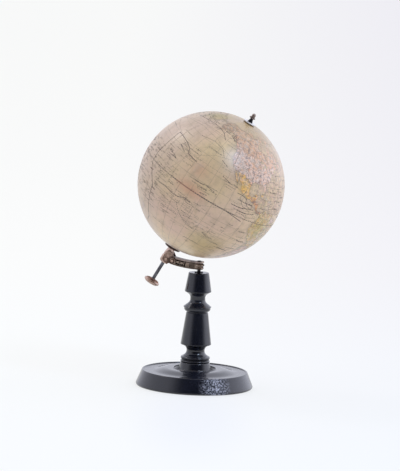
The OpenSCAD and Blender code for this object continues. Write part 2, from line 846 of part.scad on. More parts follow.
module spindle() {
    half_l = inner_r - face_gap - block_t + spindle_socket - face_gap;
    color([0.66, 0.50, 0.32])
    on_axle()
    difference() {
        cylinder(r = spindle_r, h = 2 * half_l, center = true, $fn = 72);
        cylinder(r = axle_r + 0.4, h = 2 * half_l + 2, center = true, $fn = 48);
        // Ends drilled for the ferrules
        for (side = [0, 180]) rotate([side, 0, 0]) translate([0, 0, inner_r - block_t])
            cylinder(r = ferrule_r + fix_gap, h = block_t, $fn = 48);
    }
}

// Map: gores from one polar cap to the other, their joints on whole meridians, and the round caps
calotte_angle = asin(calotte_r / ball_r);
seam_angle = gore_seam / ball_r * 180 / PI;

// Wedge between two meridians, outside the polar caps
module gore_wedge(turn, width) {
    rotate([0, 0, turn])
    rotate_extrude(angle = width, $fn = 360)
    intersection() {
        translate([0, -ball_d]) square([ball_d, 2 * ball_d]);
        polygon([
            [calotte_r + gore_seam, ball_d], [calotte_r + gore_seam, -ball_d],
            [ball_d, -ball_d], [ball_d, ball_d]
        ]);
    }
}

module paper_gores() {
    color([0.76, 0.70, 0.57])
    on_axle()
    for (i = [0 : gore_n - 1])
        layer(ball_r, paper_r)
            gore_wedge(prime_turn + i * 360 / gore_n + seam_angle / 2, 360 / gore_n - seam_angle);
}

module polar_calottes() {
    color([0.76, 0.70, 0.57])
    on_axle()
    for (side = [0, 180])
        rotate([side, 0, 0])
        layer(ball_r, paper_r)
            difference() {
                cylinder(r = calotte_r, h = ball_d);
                cylinder(r = ferrule_r + fix_gap, h = ball_d, $fn = 48);
            }
}

base();
column();
column_pin();
pin_washer();
arm();
yoke_cheeks();
yoke_rivet();
trunnion_screws();
lock_screw();
sleeve();
axle();
knob();
knob_nut();
south_plate();
south_ferrule();
north_ferrule();
north_plate();
flared_collar();
cap_nut();
shell_south();
shell_north();
inner_hoop();
spindle();
pole_block_south();
pole_block_north();
paper_gores();
polar_calottes();
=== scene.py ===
"""An old table globe: a paper-covered ball on a steel axle, held by a cast brass arm on an ebonised stand.

Lengths are written in millimetres, as the object is measured, and MM turns them into Blender's metres. Only the
shader nodes work in metres, since the objects' own coordinates are in them. The ball's map is worked out here from
short outlines of the lands, typed in degrees.
"""
import json
import math
import random

import bpy
import numpy as np
from mathutils import Matrix, Vector


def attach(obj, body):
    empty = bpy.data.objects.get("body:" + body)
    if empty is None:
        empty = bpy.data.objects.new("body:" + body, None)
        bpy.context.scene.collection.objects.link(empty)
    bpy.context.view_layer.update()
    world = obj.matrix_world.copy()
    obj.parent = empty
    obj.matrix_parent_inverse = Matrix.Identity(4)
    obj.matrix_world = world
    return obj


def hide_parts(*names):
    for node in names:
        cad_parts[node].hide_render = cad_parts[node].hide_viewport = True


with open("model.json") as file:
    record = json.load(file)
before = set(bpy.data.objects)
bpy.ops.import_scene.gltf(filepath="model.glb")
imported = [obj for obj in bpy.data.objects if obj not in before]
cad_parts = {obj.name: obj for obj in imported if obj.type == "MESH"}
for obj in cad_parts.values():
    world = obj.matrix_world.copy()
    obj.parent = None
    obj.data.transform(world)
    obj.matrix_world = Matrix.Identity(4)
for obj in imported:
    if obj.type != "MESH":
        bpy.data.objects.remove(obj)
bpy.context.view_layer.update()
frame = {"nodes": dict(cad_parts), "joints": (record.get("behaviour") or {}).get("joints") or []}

MM = 0.001
JOINTS = {joint["name"]: joint for joint in frame["joints"]}


# Frame of the axle

SPIN_AXIS = Vector(JOINTS["globe_spin"]["axis"]).normalized()
BALL_CENTRE = Vector(JOINTS["globe_spin"]["pos_m"])
AXLE_TILT = math.atan2(SPIN_AXIS.x, SPIN_AXIS.z)
AXLE_FRAME = Matrix.Translation(BALL_CENTRE) @ Matrix.Rotation(AXLE_TILT, 4, "Y")

BALL_R = 80.0
PAPER_R = BALL_R - 0.04
INK_R = BALL_R - 0.012
PRIME_TURN = 45.0
DEGREE_MM = BALL_R * math.pi / 180


def hex_rgb(code):
    """Linear colour of a written sRGB colour, such as "b8a68c"."""
    values = [int(code[i:i + 2], 16) / 255 for i in (0, 2, 4)]
    return tuple(v / 12.92 if v <= 0.04045 else ((v + 0.055) / 1.055) ** 2.4 for v in values)


# Mesh helpers

def set_out(name, data):
    """A new object of the scene from a mesh, a lamp or a camera."""
    piece = bpy.data.objects.new(name, data)
    bpy.context.scene.collection.objects.link(piece)
    return piece


def add_mesh(name, verts, faces, body, material, replaces=(), smooth=True):
    """A mesh object from points in metres, which rides on a body."""
    mesh = bpy.data.meshes.new(name)
    mesh.from_pydata([tuple(v) for v in verts], [], [tuple(f) for f in faces])
    mesh.validate()
    if smooth:
        mesh.shade_smooth()
    mesh.materials.append(material)
    piece = set_out(name, mesh)
    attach(piece, body)
    if replaces:
        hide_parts(*replaces)
    return piece


def arc(cx, cz, r, start, end, count=8):
    """Points of an arc in a half profile, from one angle to the other, in degrees."""
    angles = [math.radians(start + (end - start) * i / count) for i in range(count + 1)]
    return [(cx + r * math.cos(a), cz + r * math.sin(a)) for a in angles]


SHARP_TURN = 25
LEAST_CUT = 0.02


def rounded(points, radius):
    """The same profile with its sharp corners cut by small arcs."""
    out = [points[0]]
    for before, here, after in zip(points, points[1:], points[2:]):
        a, b, c = Vector(before), Vector(here), Vector(after)
        into, away = b - a, c - b
        if into.length < 1e-6 or away.length < 1e-6:
            continue
        turn = math.degrees(into.angle(away))
        cut = min(radius, 0.4 * into.length, 0.4 * away.length)
        if turn < SHARP_TURN or cut < LEAST_CUT:
            out.append(here)
            continue
        start, end = b - into.normalized() * cut, b + away.normalized() * cut
        for t in (0, 0.33, 0.67, 1):
            p = start * (1 - t) ** 2 + b * 2 * t * (1 - t) + end * t ** 2
            out.append((p.x, p.y))
    out.append(points[-1])
    return out


def between(a, b, part, whole=1):
    """The point at part / whole of the way from one point to another."""
    return tuple(p + (q - p) * part / whole for p, q in zip(a, b))


def refined(points, step):
    """The line with extra points, none further apart than step."""
    out = [points[0]]
    for a, b in zip(points, points[1:]):
        count = max(1, math.ceil(math.dist(a, b) / step))
        out += [between(a, b, i, count) for i in range(1, count + 1)]
    return out


def turned(name, profile, turns, material, node, shape):
    """A turned piece of the stand in the place of a CAD node.

    Its half profile in millimetres runs from the axis out and back to it, and shape(z, turn) is added to each radius.
    """
    verts, rings, faces = [], [], []
    for r, z in profile:
        if r < 1e-6:
            rings.append([len(verts)])
            verts.append(Vector((0, 0, z)) * MM)
            continue
        rings.append(range(len(verts), len(verts) + turns))
        for i in range(turns):
            a = 2 * math.pi * i / turns
            radius = r + shape(z, a)
            verts.append(Vector((radius * math.cos(a), radius * math.sin(a), z)) * MM)
    for low, high in zip(rings, rings[1:]):
        for i in range(turns):
            j = (i + 1) % turns
            if len(low) == 1:
                faces.append((low[0], high[j], high[i]))
            elif len(high) == 1:
                faces.append((low[i], low[j], high[0]))
            else:
                faces.append((low[i], low[j], high[j], high[i]))
    return add_mesh(name, verts, faces, "stand", material, [node])


# Materials

class Value:
    """A shader value. A sum written with it adds the nodes that reckon it."""

    def __init__(self, nodes, socket):
        self.nodes, self.socket = nodes, socket

    def __add__(self, other):
        return self.nodes.math("ADD", self, other)

    def __radd__(self, other):
        return self.nodes.math("ADD", other, self)

    def __sub__(self, other):
        return self.nodes.math("SUBTRACT", self, other)

    def __rsub__(self, other):
        return self.nodes.math("SUBTRACT", other, self)

    def __mul__(self, other):
        return self.nodes.math("MULTIPLY", self, other)

    def __truediv__(self, other):
        return self.nodes.math("DIVIDE", self, other)

    def __abs__(self):
        return self.nodes.math("ABSOLUTE", self)


class Nodes:
    """Short names for the shader nodes of a new material, or of the world."""

    def __init__(self, name, owner=None):
        self.owner = owner or bpy.data.materials.new(name)
        self.owner.use_nodes = True
        self.tree = self.owner.node_tree
        self.bsdf = self.tree.nodes.get("Principled BSDF")

    def feed(self, value, socket):
        """Links a value to a socket, or writes a number or a colour into it. Colours may be codes."""
        value = getattr(value, "socket", value)
        if isinstance(value, str):
            value = hex_rgb(value)
        if isinstance(value, tuple) and socket.type == "RGBA":
            value = (*value, 1)
        if hasattr(value, "is_output"):
            self.tree.links.new(value, socket)
        else:
            socket.default_value = value

    def made(self, kind, inputs, output=0, **settings):
        """An output of a new node, whose inputs are given by number or by name."""
        node = self.tree.nodes.new(kind)
        for key, value in settings.items():
            setattr(node, key, value)
        for key, value in inputs.items():
            self.feed(value, node.inputs[key])
        return Value(self, node.outputs[output])

    def math(self, operation, *values, clamp=False):
        return self.made("ShaderNodeMath", dict(enumerate(values)), operation=operation, use_clamp=clamp)

    def largest(self, first, *others):
        for other in others:
            first = self.math("MAXIMUM", first, other)
        return first

    def length(self, x, y):
        return self.math("SQRT", x * x + y * y)

    def mix(self, factor, a, b):
        return self.made("ShaderNodeMix", {0: factor, 6: a, 7: b}, 2, data_type="RGBA")

    def dot(self, vector, way):
        return self.made("ShaderNodeVectorMath", {0: vector, 1: way}, "Value", operation="DOT_PRODUCT")

    def split(self, vector):
        first = self.made("ShaderNodeSeparateXYZ", {0: vector})
        return [Value(self, socket) for socket in first.socket.node.outputs]

    def joined(self, *values):
        return self.made("ShaderNodeCombineXYZ", dict(enumerate(values)))

    def range(self, value, low, high, to_low=0.0, to_high=1.0, smooth=False):
        return self.made("ShaderNodeMapRange", dict(enumerate((value, low, high, to_low, to_high))),
                         clamp=True, interpolation_type="SMOOTHSTEP" if smooth else "LINEAR")

    def place(self):
        return self.made("ShaderNodeTexCoord", {}, "Object")

    def ray(self, kind):
        return self.made("ShaderNodeLightPath", {}, f"Is {kind} Ray")

    def stretched(self, vector, scale=(1, 1, 1), turn=(0, 0, 0), move=(0, 0, 0)):
        return self.made("ShaderNodeMapping", {0: vector, "Location": move, "Rotation": turn, "Scale": scale})

    def noise(self, vector, scale, detail, rough=0.55, distortion=0.0):
        return self.made("ShaderNodeTexNoise", {
            "Vector": vector, "Scale": scale, "Detail": detail, "Roughness": rough, "Distortion": distortion})

    def bump(self, height, distance, strength=1.0, under=None):
        inputs = {"Strength": strength, "Distance": distance, "Height": height}
        if under:
            inputs["Normal"] = under
        return self.made("ShaderNodeBump", inputs)

    def finish(self, colour, rough, **others):
        """Feeds the material's own shader, and hands out the material."""
        for key, value in {"Base Color": colour, "Roughness": rough, **others}.items():
            self.feed(value, self.bsdf.inputs[key.replace("_", " ")])
        return self.owner


def ebonised(name):
    """Black lacquered wood off the lathe: a smooth gloss with turning rings, rubbed places, dust and scratches, and
    painted glints in a scuffed patch.
    """
    n = Nodes(name)
    place = n.place()
    x, y, z = n.split(place)
    # Turning rings run round the stand's axis, so they change with radius and height only
    rings = n.noise(n.joined(n.length(x, y), z), 700, detail=3)
    grain = n.noise(n.stretched(place, (260, 260, 26)), 1, detail=5)
    cloud = n.noise(place, 26, detail=4)
    peel = n.noise(place, 240, detail=3)
    scratch = n.noise(n.stretched(place, (900, 900, 60), turn=(0.3, 0.9, 0.4)), 1, detail=2)
    rubbed = n.range(cloud, 0.52, 0.72)
    # A knocked and scuffed patch on the front of the foot: rough, pitted lacquer, with painted bluish-white glints in
    # its pits
    away = n.made("ShaderNodeVectorMath", {0: place, 1: SCUFF_AND_GLINT_AT}, "Value", operation="DISTANCE")
    patch = n.range(away, 0.002, 0.020, 1.0, 0.0)
    pits = n.noise(place, 560, detail=5, rough=0.75)
    scuff = patch * pits
    colour = n.mix(rubbed, "0f121d", "191b28")
    colour = n.mix(n.range(grain, 0.64, 0.84, 0.0, 0.5), colour, "2a2526")
    # Painted glints: the scuffed patch's pits are coloured near white, as light caught in them
    colour = n.mix(patch * n.range(pits, 0.49, 0.58), colour, "d6d8e6")
    rough = n.range(cloud, 0.3, 0.75, 0.16, 0.26)
    rough = rough + n.range(scratch, 0.66, 0.8, 0.0, 0.12)
    rough = n.math("ADD", rough, scuff * 0.2, clamp=True)
    normal = n.bump(rings, 0.00002, 0.4)
    normal = n.bump(grain, 0.00003, 0.3, under=normal)
    normal = n.bump(peel, 0.00006, 0.35, under=normal)
    normal = n.bump(scuff, 0.0007, 0.8, under=normal)
    return n.finish(colour, rough, Normal=normal, Specular_IOR_Level=0.52, Coat_Weight=0.28, Coat_Roughness=0.06)


def aged_metal(name, clean, dull, dark, dirt, rough=(0.28, 0.5), tool_marks=None, metallic=1.0):
    """A bare metal that has darkened: patches, dirt in the pits, fine scratches and pin holes."""
    n = Nodes(name)
    place = n.place()
    cloud = n.noise(place, 190, detail=5, rough=0.6)
    fine = n.noise(place, 1500, detail=4)
    scratch = n.noise(n.stretched(place, (1800, 300, 1800), turn=(0.4, 0.2, 0.7)), 1, detail=3)
    colour = n.mix(n.range(cloud, 0.36, 0.62), clean, dull)
    colour = n.mix(n.range(fine, 0.52, 0.76, 0.0, dirt), colour, dark)
    roughness = n.math("ADD", n.range(cloud, 0.3, 0.7, *rough), n.range(scratch, 0.6, 0.75, 0.0, 0.15), clamp=True)
    normal = n.bump(fine, 0.00007, 0.5)
    normal = n.bump(scratch, 0.00004, 0.4, under=normal)
    if tool_marks:
        # Tool marks round the axle: bands along its length
        bands = n.noise(n.joined(n.dot(place, SPIN_AXIS)), tool_marks, detail=2)
        normal = n.bump(bands, 0.00006, 0.5, under=normal)
    return n.finish(colour, roughness, Normal=normal, Metallic=metallic)


def plain(name, light, dark, scale, rough, stretch=(1, 1, 1)):
    """Wood, pasteboard and other dull inner stuff: two tones, a grain and a matt face."""
    n = Nodes(name)
    place = n.place()
    grain = n.noise(n.stretched(place, tuple(scale * s for s in stretch)), 1, detail=6, rough=0.65)
    cloud = n.noise(place, 30, detail=3)
    colour = n.mix(n.range(grain, 0.3, 0.7), light, dark)
    colour = n.mix(n.range(cloud, 0.4, 0.75, 0.0, 0.3), colour, tuple(0.6 * c for c in hex_rgb(dark)))
    return n.finish(colour, n.range(cloud, 0.3, 0.7, rough - 0.08, rough + 0.08), Normal=n.bump(grain, 0.0001, 0.6))


# The arm's curve: the height of its centre and the radius of its middle, and the plain pad's place along it
ARM_CENTRE_Z = 248.95
ARM_MID_R = 115.7
PAD_ALONG = 12.5
PAD_HALF = 2.6


def cast_finish(n, cloud, fine, colour, dirt, relief, metallic):
    """The end of both cast brasses: their darkening mask, painted shade on the arm and dark hollows on the cheeks, also
    dulls them as dirt, and their grain lies on their relief.
    """
    rough = n.math("ADD", n.range(cloud, 0.3, 0.7, 0.3, 0.48), dirt * 0.3, clamp=True)
    return n.finish(colour, rough, Normal=n.bump(fine, 0.0001, 0.5, under=relief), Metallic=metallic)


def carved_brass():
    """The arm's cast brass: bright where hands touch it, with painted shade that makes it nearly black in the sunk
    panels and the grooves by the pad, and painted shadows on its top face and under its upper rim.
    """
    n = Nodes("carved_brass")
    place = n.place()
    x, y, z = n.split(place)
    down = ARM_CENTRE_Z * MM - z
    radius = n.length(x, down)
    along = n.math("ARCTAN2", x * -1.0, down) * ARM_MID_R
    inside = n.range(radius, 0.1127, 0.1131) * n.range(radius, 0.1184, 0.1188, 1.0, 0.0)
    # Painted shade: the floors of the sunk panels are darkened as if in shade, and the same mask roughens them
    sunk = inside * n.range(abs(y), 0.0019, 0.0027, 1.0, 0.0)
    # Painted shade in the grooves beside the pad, which are also bumped in
    shaded_groove = n.range(abs(abs(along - PAD_ALONG) - PAD_HALF), 0.2, 0.5, 1.0, 0.0) * inside
    cloud = n.noise(place, 210, detail=5, rough=0.6)
    fine = n.noise(place, 1300, detail=4)
    colour = n.mix(n.range(cloud, 0.36, 0.62), "b8a698", "8a7668")
    colour = n.mix(n.range(fine, 0.52, 0.76, 0.0, 0.7), colour, "2b221c")
    # The upper rim has taken on a rosy grey. A painted shadow darkens the top face, and painted shade makes the lower
    # rim and the bar beside the foot nearly black, most of all low down
    bar = n.range(along, -3.4, -2.8)
    colour = n.mix(n.range(radius, 0.1129, 0.1131, 0.8, 0.0) * bar, colour, "a3908a")
    colour = n.mix(n.range(radius, 0.11146, 0.11160, 0.7, 0.0) * bar, colour, "43362f")
    low = n.range(radius, 0.1174, 0.1186, 0.0, 0.75)
    beside = n.range(along, 3.2, 4.4) * n.range(along, 9.2, 9.8, 1.0, 0.0) * n.range(radius, 0.1130, 0.1150, 0.5, 0.95)
    shade = n.largest(low, beside) * bar
    colour = n.mix(shade * n.range(fine, 0.35, 0.65, 1.0, 0.6), colour, "33271f")
    # Painted shadow: a dark line under the upper rim
    line = n.range(radius, 0.1129, 0.1131) * n.range(radius, 0.1136, 0.1142, 0.85, 0.0) * bar
    # One mask of painted shade that also dulls the surface as dirt: the panels, the grooves and the line under the rim
    dirt = n.largest(sunk * 0.95, shaded_groove, line)
    relief = n.bump(1.0 - shaded_groove, 0.0004, 0.9)
    return cast_finish(n, cloud, fine, n.mix(dirt, colour, "1d1510"), dirt, relief, 0.9)


# Places on the cheeks as (x, z), and how far the scroll round the rivet widens in one turn
RIVET_AT = (-29.19, 137.0)
TRUNNION_AT = (-33.3, 143.17)
CURL_PITCH = 1.5


def scrolled_brass():
    """The cheeks: rosy brass with a cast scroll round the rivet, dark in its hollows, and a dark ring round the pivot.
    """
    n = Nodes("scrolled_brass")
    place = n.place()
    x, y, z = n.split(place)

    def polar(at):
        """Radius in millimetres and turn of a point about a line across the cheeks."""
        across, up = x - at[0] * MM, z - at[1] * MM
        return n.length(across, up) * (1 / MM), n.math("ARCTAN2", up, across)

    far, turn = polar(RIVET_AT)
    wind = n.math("FRACT", far / CURL_PITCH + turn / math.tau)
    ridge = n.range(abs(wind - 0.5), 0.12, 0.3, smooth=True)
    near = n.range(far, 4.4, 6.0, 1.0, 0.0)
    hollow = near * n.range(far, 1.7, 1.9) * (1.0 - ridge)
    far, _ = polar(TRUNNION_AT)
    seam = n.range(abs(far - 4.2), 0.15, 0.6, 0.5, 0.0)
    cloud = n.noise(place, 210, detail=5, rough=0.6)
    fine = n.noise(place, 1300, detail=4)
    colour = n.mix(n.range(cloud, 0.38, 0.60), "b0978a", "7a6156")
    colour = n.mix(near * 0.45, colour, "74655b")
    colour = n.mix(n.range(fine, 0.50, 0.74, 0.0, 0.7), colour, "332620")
    dirt = n.largest(hollow * 0.9, seam)
    return cast_finish(n, cloud, fine, n.mix(dirt, colour, "241a15"), dirt, n.bump(1.0 - hollow, 0.0006), 0.95)


# The foot's scuffed place, where glints are painted, to the right of the middle as the camera sees it
SCUFF_AND_GLINT_R, SCUFF_AND_GLINT_Z = 61 * MM, 9 * MM
SCUFF_AND_GLINT_TURN = math.radians(34)
SCUFF_AND_GLINT_AT = (SCUFF_AND_GLINT_R * math.sin(SCUFF_AND_GLINT_TURN), -SCUFF_AND_GLINT_R * math.cos(SCUFF_AND_GLINT_TURN), SCUFF_AND_GLINT_Z)

base_black = ebonised("ebonised_base")
column_black = ebonised("ebonised_column")
cast_brass = aged_metal("aged_cast_brass", "b3a58c", "7d6f5e", "2b221c", 0.7)
rosy_brass = aged_metal("aged_rosy_brass", "bda295", "8f766a", "33261f", 0.75)
turned_brass = aged_metal("turned_rosy_brass", "d9c0b3", "b39a8c", "4f423b", 0.45, tool_marks=2400)
bright_brass = aged_metal("rubbed_brass", "d6beb0", "ae9283", "4a3b32", 0.35)
steel = aged_metal("dark_steel", "77777b", "57565a", "2e2b2a", 0.4, tool_marks=1600)
black_steel = aged_metal("blackened_steel", "3a393c", "29282b", "121213", 0.5)
brown_steel = aged_metal("browned_steel", "5e4a43", "43342f", "1c1513", 0.4)
dull_brass = aged_metal("dull_brass", "a5938a", "74665f", "2b2421", 0.6)
carved, scrolled = carved_brass(), scrolled_brass()
# Painted reflection: the north plate is coloured near white, standing in for the white room its polished face reflects
metal_painted_white_reflection = aged_metal("pale_metal", "f2efec", "dcd7d3", "9a938c", 0.25, rough=(0.5, 0.65), metallic=0.3)
shell_board = plain("papier_mache", "b9ad92", "9c8f76", 700, 0.85)
plain_wood = plain("plain_wood", "b8945f", "8f6c40", 420, 0.7, stretch=(1, 1, 0.08))


# Outlines of the land. Longitudes run past 180 where a coast crosses it.

def rows(text):
    """Rows of numbers: blanks part the rows, commas the numbers of a row, such as longitude and latitude."""
    return [tuple(float(v) for v in word.split(",")) for word in text.split()]


def lines(text):
    """Lists of rows, parted by semicolons."""
    return [rows(part) for part in text.split(";")]


def outlines(text):
    """Pairs of a name and its rows: a word without a comma names the rows after it."""
    found = []
    for word in text.split():
        if "," in word:
            found[-1][1].extend(rows(word))
        else:
            found.append((word, []))
    return found


